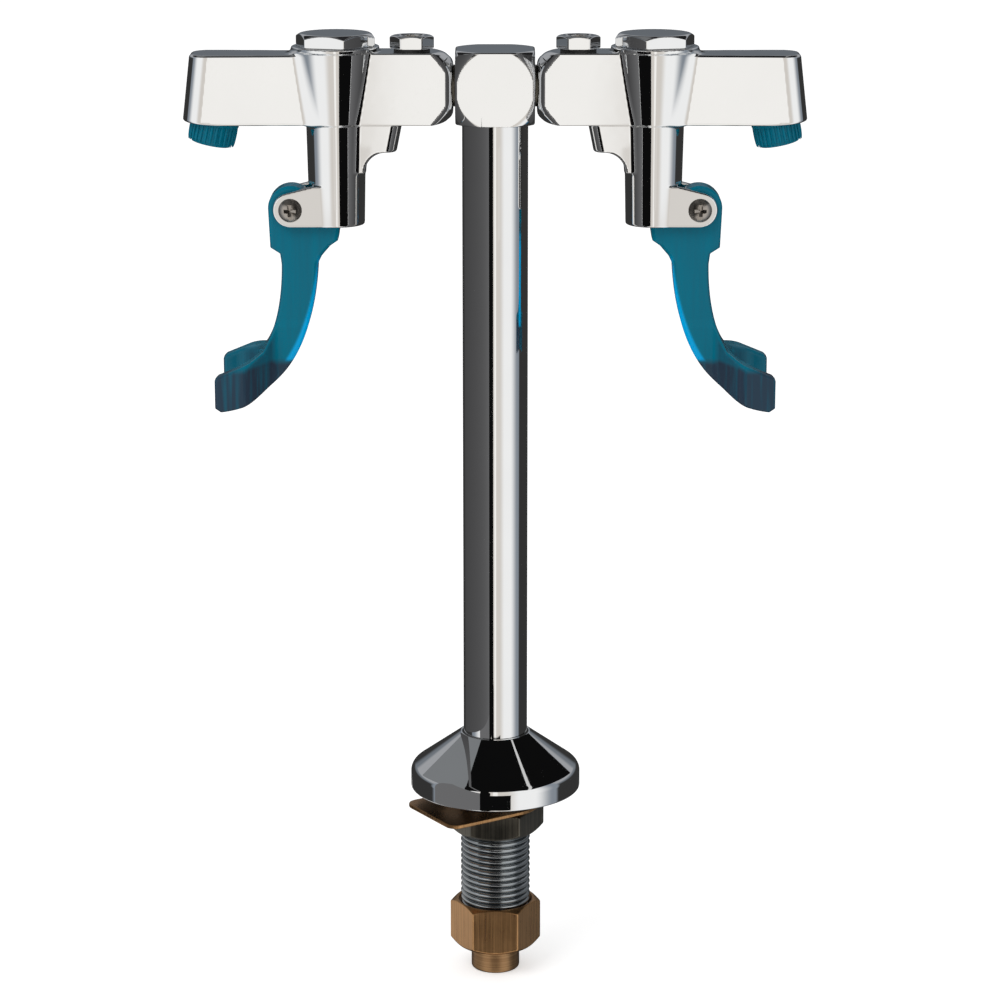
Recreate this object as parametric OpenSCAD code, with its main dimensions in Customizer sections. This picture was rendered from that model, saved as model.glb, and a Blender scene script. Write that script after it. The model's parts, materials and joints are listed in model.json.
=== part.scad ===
// Deck-mounted pedestal glass filler with two opposite push-back arms.
// Millimetres. The origin is the centre of the flange's underside, +Z is up, the front is -Y.
// Both arms are drawn once, for the +X side, and mirrored for the other side.

/* [Riser] */
// Height of the riser's top shoulder above the deck
riser_top = 200.6; // [170:0.1:230]
// Outside diameter of the riser tube
riser_d = 19.05; // [18:0.05:20]
// Diameter of the waterway through shank and riser
bore_d = 11.6; // [9:0.1:12]
// Diameter of the spigots that the riser and the shank push into their sockets
spigot_d = 15.2; // [14.6:0.1:15.6]
// Height of the riser's spigot inside the tee
riser_spigot_h = 4.4; // [4:0.1:4.8]
// Height of the shank's spigot inside the riser
shank_spigot_h = 15; // [8:0.5:30]

/* [Flange] */
// Diameter of the flange on the deck
flange_d = 50.8; // [46:0.1:56]
// Height of the flange's top rim above the deck
flange_h = 17.2; // [15:0.1:20]
// Slope of the flange's cone in degrees
flange_slope = 36; // [30:1:40]
// Radius of the rounding between cone and rim
flange_round = 3; // [1:0.1:4]
// Width of the flange's narrow top land around the riser
flange_land = 0.8; // [0.4:0.1:1.5]
// Height of the underside of the flange's web above the deck
web_z = 8; // [6:0.1:9]
// Thickness of the web that the riser stands on
web_h = 5; // [3:0.1:6]
// Outside diameter of the deck gasket
gasket_d = 44.8; // [42:0.1:45]
// Width of the deck gasket's ring
gasket_w = 5; // [3:0.1:6]
// Thickness of the deck gasket
gasket_h = 1.6; // [1:0.1:2.5]

/* [Shank and deck fittings] */
// Crest diameter of the shank's thread
thread_d = 20.96; // [20:0.01:22]
// Pitch of the shank's thread
thread_pitch = 1.814; // [1:0.001:2.5]
// Depth of the shank's thread
thread_depth = 1.1; // [0.6:0.05:1.3]
// Length of the shank below the flange's web
shank_len = 54.5; // [48:0.5:80]
// Space between deck plane and deck washer, the thickness of deck shown
deck_space = 5; // [4:0.1:10]
// Thickness of the brass deck washer
washer_h = 1.2; // [0.8:0.1:2]
// Width of the deck washer
washer_w = 27; // [25:0.1:32]
// Length of the deck washer's square tongue from the shank's axis
tongue_len = 24; // [18:0.1:30]
// Direction of the tongue, in degrees from +X
tongue_angle = 213; // [180:1:270]
// Width across the flats of the locknut
locknut_af = 25.4; // [24:0.1:30]
// Height of the locknut
locknut_h = 8; // [6:0.1:12]
// Width across the flats of the brass coupling nut
coupling_af = 23.8; // [23.4:0.1:28]
// Height of the coupling nut
coupling_h = 14.9; // [13:0.1:20]
// Length of shank inside the coupling nut
coupling_grip = 10.2; // [8:0.1:10.6]
// Outside diameter of the tailpiece
tail_d = 14.6; // [14.2:0.05:15.6]
// Diameter of the tailpiece's socket for the supply pipe
socket_d = 12.74; // [12:0.01:13]
// Depth of that socket
socket_h = 7; // [4:0.1:8]
// Length of tailpiece below the coupling nut
tail_reach = 7.3; // [5:0.1:20]
// Diameter of the tailpiece's collar
tail_collar_d = 20; // [18:0.1:20.4]
// Height of the tailpiece's collar
tail_collar_h = 1.6; // [1:0.1:1.8]
// Thickness of the tail washer
tail_washer_h = 1.5; // [1:0.1:1.6]

/* [Tee] */
// Width and depth of the cubic tee
tee_w = 22.8; // [22:0.1:24]
// Height of the tee
tee_h = 21.2; // [20:0.1:23]
// Radius of the sphere that turns the tee's corners
tee_turn_r = 16.8; // [15.5:0.1:19]
// Outside diameter of the brass nipples
nipple_d = 11.94; // [10:0.02:12]
// Waterway through the nipples
nipple_bore_d = 7.2; // [5:0.1:8]
// Depth of a nipple in the tee and in the arm
nipple_grip = 3.6; // [3:0.1:3.7]

/* [Arm block] */
// Gap between tee and arm, where the nipple shows
arm_gap = 0.6; // [0.3:0.1:1.2]
// Distance from the riser's axis to a valve's axis
valve_x = 45.7; // [44:0.1:50]
// Height of the square arm block
block_h = 20.6; // [19:0.1:22]
// Depth of the arm block from front to back
block_depth = 14.4; // [12.6:0.1:17]
// Distance of the block's top below the tee's top
block_drop = 0.7; // [0.3:0.1:1]
// Radius of the arm block's turned end face
block_turn_r = 8.65; // [7.8:0.05:10]
// Slope of the turned end, run along the arm for each millimetre of radius
block_turn_slope = 1.25; // [0.8:0.05:1.6]
// Rounding of the block's upright edges at the tee
block_round = 2.2; // [1:0.1:3]
// Diameter of the waterway in the arm
passage_d = 4.8; // [3:0.1:5]

/* [Valve barrel] */
// Diameter of the upper barrel at its top
barrel_top_d = 24; // [22.6:0.1:26]
// Diameter of the upper barrel at the arm's underside
barrel_low_d = 18.8; // [18:0.1:20]
// Height of the barrel's top above the arm's top
barrel_rise = 1.5; // [1:0.1:3]
// Height of the barrel's top collar
collar_h = 1.1; // [0.6:0.1:1.6]
// Diameter of the barrel's top collar
collar_d = 25.2; // [24.4:0.1:26.4]
// Diameter of the lower barrel at the arm's underside
neck_top_d = 17.2; // [16.4:0.1:18]
// Diameter of the lower barrel at its bottom
neck_low_d = 16; // [15:0.1:17]
// Width across the flats of the hexagon cap
cap_af = 20.6; // [19:0.1:21]
// Height of the hexagon cap
cap_h = 3.7; // [3:0.1:6]
// Turn of the cap's hexagon in degrees
cap_turn = 15; // [0:1:30]
// Diameter of the cap's plug inside the barrel
plug_d = 16.8; // [16:0.1:17.4]
// Length of the cap's plug
plug_h = 4.6; // [4:0.1:6]

/* [Valve inside] */
// Diameter of the upper valve chamber
chamber_d = 15.2; // [14:0.1:15.4]
// Height of the valve seat above the arm's underside
seat_rise = 4.1; // [3.4:0.1:6]
// Diameter of the opening in the valve seat
orifice_d = 7.2; // [6:0.1:8]
// Diameter of the lower chamber
feed_chamber_d = 10.4; // [9:0.1:11]
// Depth of the lower chamber's floor below the arm's underside
feed_floor = 8.5; // [8:0.1:9.5]
// Diameter of the stem's guide
guide_d = 6; // [5:0.1:7]
// Diameter of the stem's tip
stem_d = 4; // [3:0.1:4.6]
// Thickness of the seat washer
seat_washer_h = 2; // [1.5:0.1:3]
// Diameter of the seat washer
seat_washer_d = 10; // [9:0.1:11]
// Diameter of the disc holder
holder_d = 11.6; // [11.2:0.1:13]
// Height of the disc holder
holder_h = 3; // [2.4:0.1:4]
// Mean diameter of the valve spring
spring_d = 7.2; // [6.6:0.1:7.6]
// Diameter of the spring's wire
wire_d = 0.9; // [0.6:0.05:1]
// Number of the spring's turns
spring_turns = 6; // [4:1:7]

/* [Spout] */
// Reach of the spout's bottom edge from the valve's axis
spout_reach = 43.9; // [42:0.1:52]
// Lean of the spout's end face in degrees
spout_lean = 6.8; // [0:0.2:10]
// Height of the spout
spout_h = 20.1; // [19:0.1:21]
// Distance of the spout's top below the arm's top
spout_drop = 0.5; // [0.2:0.1:1]
// Depth of the spout where it leaves the barrel
spout_near_w = 13; // [12:0.1:15]
// Depth of the spout at its end
spout_far_w = 16.6; // [16:0.1:18]
// Rounding of the spout's outer upright edges
spout_round = 3.5; // [1:0.1:5]
// Rise of the spout's underside at its end
spout_curl = 1.7; // [0.5:0.1:3]
// Diameter of the waterway in the spout
spout_bore_d = 8; // [6:0.1:9]

/* [Feed boss and clevis] */
// Height of the boss under the arm
boss_h = 7.9; // [7.4:0.1:9]
// Reach of the boss's bottom from the valve's axis towards the tee
boss_reach = 17.4; // [16.6:0.1:18.6]
// Depth of the boss from front to back
boss_w = 12; // [9:0.1:13]
// Radius of the hollow curve under the boss
boss_fillet = 6; // [4:0.1:7]
// Distance of the lever's pivot from the valve's axis
pivot_out = 13.2; // [12.4:0.1:15]
// Distance of the pivot below the arm's underside
pivot_down = 24.3; // [24:0.1:30]
// Radius of the clevis ears round the pivot
ear_r = 5; // [4.6:0.1:5.4]
// Depth across both ears
ears_w = 14.8; // [14.4:0.1:15.6]
// Width of the slot between the ears
slot_w = 9.6; // [9.4:0.1:10.4]
// Depth of the slot past the valve's axis
slot_in = 4; // [3.6:0.1:5]
// Height of the slot's roof above the pivot
slot_rise = 6.8; // [6.4:0.1:7.6]
// Diameter of the pivot screw's shank
pivot_d = 4; // [3:0.1:4.2]
// Diameter of the pivot screw's head
head_d = 7.2; // [6.6:0.1:8]
// Height of the pivot screw's domed head
head_h = 2; // [1.4:0.1:2.6]

/* [Lever] */
// Thickness of the lever between the ears
lever_t = 9; // [8:0.1:9]
// Radius of the lever's hub
hub_r = 6.6; // [6:0.1:6.7]
// Width across the fork's two prongs
fork_w = 38; // [34:0.5:44]
// Thickness of each prong
prong_t = 5.6; // [4.5:0.1:7]
// Reach of the prongs' tips beyond the pivot
fork_reach = 21.8; // [20:0.1:26]
// Depth of the prongs' lower edge below the pivot
fork_down = 57; // [54:0.1:62]
// Height of a prong's end
prong_h = 10; // [8:0.1:12]

/* [Flow control] */
// Distance of the flow screw from the riser's axis
flow_x = 23.8; // [23.6:0.1:24.6]
// Width across the flats of the packing nut
packing_af = 11.1; // [10.6:0.1:12]
// Height of the packing nut's hexagon
packing_h = 3.7; // [3:0.1:5]
// Diameter of the packing nut's threaded shank
packing_shank_d = 8.5; // [8.3:0.1:8.6]
// Length of that shank
packing_shank_h = 4.9; // [4.4:0.1:5]
// Diameter of the hole in the packing nut
packing_bore_d = 6.9; // [6.6:0.1:7]
// Thickness of the seal under the packing nut
nut_seal_h = 0.8; // [0.5:0.1:1.2]
// Diameter of the flow screw's shaft
flow_shaft_d = 5.9; // [5:0.1:6]
// Travel of the flow screw
flow_travel = 3; // [1:0.1:3]

/* [Outlet tip] */
// Diameter of the outlet tip
tip_d = 14; // [12.5:0.1:14.6]
// Height of the outlet tip's fluted part
tip_h = 7.7; // [6:0.1:10]
// Tilt of the outlet tip in degrees, outwards
tip_tilt = 12; // [0:1:14]
// Distance of the outlet tip from the spout's end
tip_inset = 9.3; // [9:0.1:11]
// Number of flutes round the outlet tip
tip_flutes = 28; // [16:1:32]
// Diameter of the tip's spigot in the spout
tip_spigot_d = 11.1; // [10:0.1:11.4]
// Height of the tip's spigot
tip_spigot_h = 4; // [3:0.1:5]

/* [Hidden] */

$fn = 64;
// Overshoot of a cutter past the face it opens
cut = 1;
// Radial gap of parts that are screwed or pressed together
fit_gap = 0.03;
// Radial gap of parts that run in each other
run_gap = 0.05;
// Gap round a squeezed O-ring
seal_gap = 0.01;
// Gap of parts that pass each other freely
free_gap = 0.3;

chrome = "silver";
brass = "#a8855a";
rubber = "#2b2b2b";
teal = "#00809a";
steel = "#8c8478";
olive = "#46443c";

// Heights on the centre column
tee_z = riser_top + tee_h / 2;
tee_top = riser_top + tee_h;
riser_z = web_z + web_h;
shank_bottom = web_z - shank_len;
washer_top = -deck_space;
locknut_top = washer_top - washer_h;
coupling_top = shank_bottom + coupling_grip;
coupling_bottom = coupling_top - coupling_h;
tail_collar_top = shank_bottom - tail_washer_h;
tail_bottom = coupling_bottom - tail_reach;
spigot_seal_z = riser_top + riser_spigot_h / 2;

// Heights and places in the arm
arm_x = tee_w / 2 + arm_gap;
block_top = tee_top - block_drop;
block_low = block_top - block_h;
barrel_top = block_top + barrel_rise;
cap_top = barrel_top + cap_h;
plug_low = barrel_top - plug_h;
seat_z = block_low + seat_rise;
chamber_floor = seat_z - 0.6;
feed_roof = seat_z - 1.6;
feed_low = block_low - feed_floor;
feed_z = feed_low + passage_d / 2 + 2.6;
feed_x = valve_x - boss_reach + passage_d / 2 + 1.8;
pivot_x = valve_x + pivot_out;
pivot_z = block_low - pivot_down;
neck_low = pivot_z - ear_r;
slot_roof = pivot_z + slot_rise;
spout_top = block_top - spout_drop;
spout_low = spout_top - spout_h;
spout_end = valve_x + spout_reach;
spout_bore_z = spout_top - spout_h / 2;
tip_x = spout_end - tip_inset;
tip_z = spout_low + tip_d / 2 * sin(tip_tilt) + 0.1;
tip_bore_d = tip_spigot_d - 2.7;
screen_seat = tip_spigot_h - 1.4;

// Valve train, from the seat up
holder_low = seat_z + seat_washer_h;
holder_top = holder_low + holder_h;
spring_pocket_d = spring_d + wire_d + 1.4;
spring_top = barrel_top + cap_h - 2.4;
spring_core_d = spring_d - wire_d - 0.8;
stem_neck_d = stem_d - 1;
stem_lift = 3.5;
lever_swing = 15;
piston_h = 5;
piston_low = slot_roof + 1.2;
stem_seal_z = piston_low + piston_h / 2;
stem_tip_z = slot_roof - 9.4;
heel_gap = 0.15;
heel_r = 1.6;
heel_off = 0.5;
heel_reach = stem_d / 2 + heel_r + heel_gap;
heel_z = stem_tip_z + stem_d / 2 - sqrt(pow(heel_reach, 2) - pow(heel_off, 2));

// Flow control, from the nut's top down
nut_hex_low = block_top + nut_seal_h;
nut_hex_top = nut_hex_low + packing_h;
nut_shank_low = nut_hex_low - packing_shank_h;
packing_floor = nut_shank_low - 0.5;
flow_head_d = packing_bore_d - 2 * run_gap;
flow_head_top = nut_hex_top - 1.5;
flow_head_low = packing_floor + flow_travel + 0.4;
flow_tip_z = tee_z + passage_d / 2 - 0.4;
flow_seal_z = nut_hex_low + 0.1;

// Points of an arc round c with radius r, from angle a0 to a1, in n steps
function arc(c, r, a0, a1, n) =
    [for (i = [0:n]) c + r * [cos(a0 + (a1 - a0) * i / n), sin(a0 + (a1 - a0) * i / n)]];

// Point at t on a cubic curve with the control points p
function cubic(p, t) =
    pow(1 - t, 3) * p[0] + 3 * pow(1 - t, 2) * t * p[1]
    + 3 * (1 - t) * t * t * p[2] + pow(t, 3) * p[3];

// Points on a cubic curve, without its first point
function curve(p, n) = [for (i = [1:n]) cubic(p, i / n)];

// Straight round bar between the heights z0 and z1
module bar(d, z0, z1) {
    translate([0, 0, z0]) cylinder(d = d, h = z1 - z0);
}

// Round bar along X from x0 to x1
module bar_x(d, x0, x1) {
    translate([x0, 0, 0]) rotate([0, 90, 0]) cylinder(d = d, h = x1 - x0);
}

// Flat ring between the heights z0 and z1
module ring(d_out, d_in, z0, z1) {
    difference() {
        bar(d_out, z0, z1);
        bar(d_in, z0 - cut, z1 + cut);
    }
}

// Hexagon bar, af across its flats, with its top and bottom corners turned off
module hex_bar(af, z0, z1, top_cut, low_cut) {
    corner = af / cos(30);
    rim = (corner - af) / 2;
    intersection() {
        translate([0, 0, z0]) cylinder(d = corner, h = z1 - z0, $fn = 6);
        rotate_extrude()
            polygon([
                [0, z0],
                [corner / 2 - low_cut * rim, z0],
                [corner / 2, z0 + low_cut * rim * 0.6],
                [corner / 2, z1 - top_cut * rim * 0.6],
                [corner / 2 - top_cut * rim, z1],
                [0, z1]
            ]);
    }
}

// O-ring that fills the space between a groove and a bore
module o_ring(groove_d, bore, z) {
    section = (bore - groove_d) / 2 - 2 * seal_gap;
    translate([0, 0, z])
        rotate_extrude()
            translate([(groove_d + bore) / 4, 0])
                circle(d = section, $fn = 24);
}

// Cutter for an O-ring's groove in a bar
module groove(groove_d, bar_d, z, width) {
    ring(bar_d + 2 * cut, groove_d, z - width / 2, z + width / 2);
}

// Draws its children for the arm on the -X side
module other_side() {
    mirror([1, 0, 0]) children();
}

// Moves its children to the valve's axis, side is 1 or -1
module at_valve(side) {
    translate([side * valve_x, 0, 0]) children();
}

// Centre column

module tee() {
    color(chrome)
        difference() {
            intersection() {
                translate([-tee_w / 2, -tee_w / 2, riser_top]) cube([tee_w, tee_w, tee_h]);
                translate([0, 0, tee_z]) sphere(r = tee_turn_r, $fn = 96);
            }
            bar(spigot_d + 2 * fit_gap, riser_top - cut, riser_top + riser_spigot_h + 0.1);
            bar(bore_d, riser_top - cut, tee_z + nipple_bore_d / 2 + 0.8);
            translate([0, 0, tee_z]) {
                bar_x(nipple_bore_d, -tee_w, tee_w);
                bar_x(nipple_d + 2 * fit_gap, tee_w / 2 - nipple_grip, tee_w);
                bar_x(nipple_d + 2 * fit_gap, -tee_w, nipple_grip - tee_w / 2);
            }
        }
}

module riser() {
    color(chrome)
        difference() {
            union() {
                bar(riser_d, riser_z, riser_top);
                bar(spigot_d, riser_z, riser_top + riser_spigot_h);
            }
            bar(spigot_d + 2 * fit_gap, riser_z - cut, riser_z + shank_spigot_h + 0.1);
            bar(bore_d, riser_z, riser_top + riser_spigot_h + cut);
            groove(spigot_d - 1.9, spigot_d, spigot_seal_z, 1.3);
        }
}

module riser_seal() {
    color(rubber) o_ring(spigot_d - 1.9, spigot_d + 2 * fit_gap, spigot_seal_z);
}

module flange() {
    r = flange_d / 2;
    top_r = riser_d / 2 + flange_land;
    rim_z = flange_h - (r - top_r) * tan(flange_slope);
    turn = 90 - flange_slope;
    arc_low = rim_z - flange_round * tan(turn / 2);
    color(chrome)
        difference() {
            rotate_extrude($fn = 96)
                polygon(concat(
                    [[0, 0], [r - 0.4, 0], [r, 0.4]],
                    arc([r - flange_round, arc_low], flange_round, 0, turn, 8),
                    [[top_r, flange_h], [0, flange_h]]
                ));
            bar(gasket_d + 2 * fit_gap, -cut, gasket_h);
            bar(gasket_d - 2 * gasket_w, -cut, web_z);
            bar(spigot_d + 2 * fit_gap, 0, flange_h);
            bar(riser_d + 2 * fit_gap, riser_z, flange_h + cut);
        }
}

module deck_gasket() {
    color(rubber) ring(gasket_d, gasket_d - 2 * gasket_w, 0, gasket_h);
}

module shank() {
    crest = thread_d / 2;
    root = crest - thread_depth;
    count = floor((shank_len - 2) / thread_pitch);
    start = shank_bottom + 1;
    flat = thread_pitch * 0.2;
    slope = (thread_pitch - 2 * flat) / 2;
    color(chrome)
        difference() {
            union() {
                rotate_extrude()
                    polygon(concat(
                        [[0, shank_bottom], [root, shank_bottom]],
                        [for (i = [0:count - 1])
                            let (z = start + i * thread_pitch)
                                each [[root, z], [crest, z + slope],
                                      [crest, z + slope + flat], [root, z + 2 * slope + flat]]],
                        [[root, web_z], [0, web_z]]
                    ));
                bar(spigot_d, 0, riser_z + shank_spigot_h);
            }
            bar(bore_d, shank_bottom - cut, riser_z + shank_spigot_h + cut);
        }
}

module deck_washer() {
    hole = thread_d + 2 * free_gap;
    corner = 2.5;
    color(brass)
        translate([0, 0, locknut_top])
            rotate([0, 0, tongue_angle])
                difference() {
                    union() {
                        cylinder(d = washer_w, h = washer_h);
                        linear_extrude(height = washer_h)
                            polygon(concat(
                                [[0, -washer_w / 2]],
                                arc([tongue_len - corner, corner - washer_w / 2], corner, -90, 0, 6),
                                arc([tongue_len - corner, washer_w / 2 - corner], corner, 0, 90, 6),
                                [[0, washer_w / 2]]
                            ));
                    }
                    translate([0, 0, -cut]) cylinder(d = hole, h = washer_h + 2 * cut);
                }
}

module locknut() {
    color(olive)
        difference() {
            hex_bar(locknut_af, locknut_top - locknut_h, locknut_top, 0.4, 1.6);
            bar(thread_d + 2 * run_gap, locknut_top - locknut_h - cut, locknut_top + cut);
        }
}

module coupling_nut() {
    color(brass)
        difference() {
            hex_bar(coupling_af, coupling_bottom, coupling_top, 1.1, 1.9);
            bar(thread_d + 2 * fit_gap, tail_collar_top - tail_collar_h, coupling_top + cut);
            bar(tail_d + 2 * fit_gap, coupling_bottom - cut, coupling_top);
        }
}

module tail_washer() {
    color(rubber) ring(tail_collar_d, bore_d + 1, tail_collar_top, shank_bottom);
}

module tailpiece() {
    edge = 0.8;
    tail_waterway = 10;
    color(brass)
        difference() {
            union() {
                rotate_extrude()
                    polygon([
                        [0, tail_bottom],
                        [tail_d / 2 - edge, tail_bottom],
                        [tail_d / 2, tail_bottom + edge],
                        [tail_d / 2, tail_collar_top],
                        [0, tail_collar_top]
                    ]);
                bar(tail_collar_d, tail_collar_top - tail_collar_h, tail_collar_top);
            }
            bar(socket_d, tail_bottom - cut, tail_bottom + socket_h);
            bar(tail_waterway, tail_bottom, tail_collar_top + cut);
        }
}

// Arm, drawn for the +X side

module nipple_shape() {
    translate([0, 0, tee_z])
        difference() {
            bar_x(nipple_d, tee_w / 2 - nipple_grip + 0.1, arm_x + nipple_grip - 0.1);
            bar_x(nipple_bore_d, 0, arm_x + nipple_grip);
        }
}

// Square block between tee and barrel, its end turned like the tee's corners
module arm_block() {
    half = block_depth / 2;
    mid = (block_top + block_low) / 2;
    far_r = block_h;
    intersection() {
        translate([0, 0, block_low])
            linear_extrude(height = block_h)
                polygon(concat(
                    [[valve_x, half]],
                    arc([arm_x + block_round, half - block_round], block_round, 90, 180, 6),
                    arc([arm_x + block_round, block_round - half], block_round, 180, 270, 6),
                    [[valve_x, -half]]
                ));
        translate([arm_x, 0, mid])
            rotate([0, 90, 0])
                rotate_extrude($fn = 96)
                    polygon([
                        [0, 0],
                        [block_turn_r, 0],
                        [far_r, (far_r - block_turn_r) * block_turn_slope],
                        [far_r, valve_x],
                        [0, valve_x]
                    ]);
    }
}

// Tapered barrel above the arm's underside and the narrower neck below it
module barrel() {
    lip = 0.5;
    at_valve(1)
        rotate_extrude($fn = 96)
            polygon([
                [0, neck_low],
                [neck_low_d / 2 - lip, neck_low],
                [neck_low_d / 2, neck_low + lip],
                [neck_top_d / 2, block_low],
                [barrel_low_d / 2, block_low],
                [barrel_top_d / 2, barrel_top - collar_h - 0.4],
                [collar_d / 2, barrel_top - collar_h],
                [collar_d / 2, barrel_top - 0.2],
                [collar_d / 2 - 0.2, barrel_top],
                [0, barrel_top]
            ]);
}

// Spout: a plan shape that leans with the end face, cut to the side view
module spout() {
    near = spout_near_w / 2;
    far = spout_far_w / 2;
    widen = atan((far - near) / spout_reach);
    end_start = spout_end - spout_reach * 0.28;
    intersection() {
        translate([spout_end, 0, spout_low])
            rotate([0, -spout_lean, 0])
                translate([0, 0, -spout_h])
                    linear_extrude(height = 3 * spout_h)
                        polygon(concat(
                            [[-spout_reach - far, -near]],
                            arc([-spout_round, spout_round - far], spout_round, -90 - widen, 0, 8),
                            arc([-spout_round, far - spout_round], spout_round, 0, 90 + widen, 8),
                            [[-spout_reach - far, near]]
                        ));
        translate([0, spout_far_w, 0])
            rotate([90, 0, 0])
                linear_extrude(height = 2 * spout_far_w)
                    polygon(concat(
                        [[valve_x, spout_top], [valve_x, spout_low]],
                        [for (i = [0:8])
                            let (u = i / 8)
                                [end_start + (spout_end + 2 - end_start) * u,
                                 spout_low + spout_curl * u * u]],
                        [[spout_end + 2, spout_top]]
                    ));
    }
}

// Rounding between the spout's flat top and the barrel's collar
module spout_root() {
    fillet_r = barrel_top - spout_top;
    reach = collar_d / 2 + fillet_r;
    intersection() {
        at_valve(1)
            rotate_extrude($fn = 96)
                difference() {
                    translate([0, spout_top - 0.5]) square([reach, fillet_r + 0.5 - 0.2]);
                    translate([reach, barrel_top]) circle(r = fillet_r, $fn = 48);
                }
        translate([valve_x, -spout_near_w / 2, spout_low])
            cube([spout_reach, spout_near_w, spout_h + barrel_rise + spout_drop]);
    }
}

// Boss that feeds water from the arm into the lower chamber
module boss() {
    end_x = valve_x - boss_reach;
    low = block_low - boss_h;
    wall = valve_x - neck_top_d / 2 + 0.3;
    translate([0, boss_w / 2, 0])
        rotate([90, 0, 0])
            linear_extrude(height = boss_w)
                polygon(concat(
                    [[valve_x, block_low + 1], [end_x - 1.8, block_low + 1], [end_x, low + 0.6],
                     [end_x + 0.6, low]],
                    arc([wall - boss_fillet, low - boss_fillet], boss_fillet, 90, 0, 8),
                    [[valve_x, low - boss_fillet]]
                ));
}

// Two ears and the slot for the lever, without the pivot's hole
module clevis() {
    crown = [pivot_x - 6.5, slot_roof];
    reach = crown - [pivot_x, pivot_z];
    dist = norm(reach);
    touch = atan2(reach[1], reach[0]) - acos(ear_r / dist);
    translate([0, ears_w / 2, 0])
        rotate([90, 0, 0])
            linear_extrude(height = ears_w)
                polygon(concat(
                    [[valve_x, slot_roof], [valve_x, neck_low]],
                    arc([pivot_x, pivot_z], ear_r, -90, touch, 16),
                    [crown]
                ));
}

// Water passages, chambers, sockets and bores in the arm's casting
module body_cuts() {
    at_valve(1) {
        bar(plug_d + 2 * fit_gap, plug_low, barrel_top + cut);
        bar(chamber_d, chamber_floor, barrel_top);
        bar(orifice_d, feed_roof - cut, seat_z + cut);
        bar(feed_chamber_d, feed_low, feed_roof);
        bar(guide_d, slot_roof - cut, feed_low + cut);
    }
    translate([0, 0, tee_z]) {
        bar_x(nipple_d + 2 * fit_gap, arm_x - cut, arm_x + nipple_grip);
        bar_x(passage_d, arm_x, feed_x);
    }
    translate([feed_x, 0, 0]) bar(passage_d, feed_z, tee_z);
    translate([feed_x, 0, tee_z]) sphere(d = passage_d, $fn = 32);
    translate([feed_x, 0, feed_z]) sphere(d = passage_d, $fn = 32);
    translate([0, 0, feed_z]) bar_x(passage_d, feed_x, valve_x);
    translate([flow_x, 0, 0]) {
        bar(flow_shaft_d + 2 * run_gap, flow_tip_z - flow_travel - 0.4, block_top);
        bar(packing_shank_d + 2 * fit_gap, packing_floor, block_top + cut);
    }
    translate([0, 0, spout_bore_z]) {
        bar_x(spout_bore_d, valve_x, tip_x);
        translate([tip_x, 0, 0]) sphere(d = spout_bore_d, $fn = 32);
    }
    at_tip() {
        bar(tip_spigot_d + 2 * fit_gap, -cut, tip_spigot_h + 0.1);
        bar(tip_d + 2 * fit_gap, -tip_h, 0);
        bar(spout_bore_d, 0, (spout_bore_z - tip_z) / cos(tip_tilt));
    }
    translate([valve_x - slot_in, -slot_w / 2, neck_low - cut])
        cube([slot_in + pivot_out + ear_r + cut, slot_w, slot_roof - neck_low + cut]);
    translate([pivot_x, 0, pivot_z])
        rotate([90, 0, 0])
            cylinder(d = pivot_d + 2 * fit_gap, h = ears_w + 2 * cut, center = true);
}

// Raised ring that the seat washer closes on
module valve_seat() {
    at_valve(1) ring(orifice_d + 1.6, orifice_d, chamber_floor - 0.2, seat_z);
}

module body_shape() {
    difference() {
        union() {
            arm_block();
            barrel();
            spout();
            spout_root();
            boss();
            clevis();
        }
        body_cuts();
    }
    valve_seat();
}

module cap_shape() {
    difference() {
        union() {
            rotate([0, 0, cap_turn]) hex_bar(cap_af, barrel_top, cap_top, 1.15, 0.2);
            bar(plug_d, plug_low, barrel_top + 0.5);
        }
        bar(spring_pocket_d, plug_low - cut, spring_top);
        groove(plug_d - 2, plug_d, barrel_top - plug_h / 2, 1.4);
    }
}

module cap_seal_shape() {
    o_ring(plug_d - 2, plug_d + 2 * fit_gap, barrel_top - plug_h / 2);
}

module spring_shape() {
    rings = 8;
    sides = 6;
    low = holder_top + wire_d / 2 + 0.02;
    high = spring_top - wire_d / 2 - 0.02;
    steps = rings * spring_turns;
    r = spring_d / 2;
    points = [for (i = [0:steps])
        let (a = 360 * i / rings, z = low + (high - low) * i / steps)
            for (j = [0:sides - 1])
                let (b = 360 * j / sides, q = r + wire_d / 2 * cos(b))
                    [q * cos(a), q * sin(a), z + wire_d / 2 * sin(b)]];
    skin = [for (i = [0:steps - 1])
        for (j = [0:sides - 1])
            let (k = (j + 1) % sides, p = i * sides, q = p + sides)
                each [[p + j, p + k, q + k], [p + j, q + k, q + j]]];
    ends = [for (j = [1:sides - 2])
        each [[0, j + 1, j], [steps * sides, steps * sides + j, steps * sides + j + 1]]];
    polyhedron(points = points, faces = concat(skin, ends));
}

module disc_holder_shape() {
    difference() {
        union() {
            bar(holder_d, holder_low, holder_top);
            bar(spring_core_d, holder_low, holder_top + 2.4);
        }
        bar(stem_neck_d + 2 * fit_gap, holder_low - cut, holder_low + 2);
    }
}

module seat_washer_shape() {
    ring(seat_washer_d, stem_neck_d + 2 * fit_gap, seat_z, holder_low);
}

module stem_shape() {
    piston_d = guide_d - 2 * run_gap;
    tip_r = stem_d / 2;
    difference() {
        union() {
            translate([0, 0, stem_tip_z + tip_r]) sphere(r = tip_r, $fn = 48);
            bar(stem_d, stem_tip_z + tip_r, seat_z - 0.02);
            bar(piston_d, piston_low, piston_low + piston_h);
            bar(stem_neck_d, seat_z - cut, holder_low + 1.9);
        }
        groove(guide_d - 1.7, piston_d, stem_seal_z, 1.2);
    }
}

module stem_seal_shape() {
    o_ring(guide_d - 1.7, guide_d, stem_seal_z);
}

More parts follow.
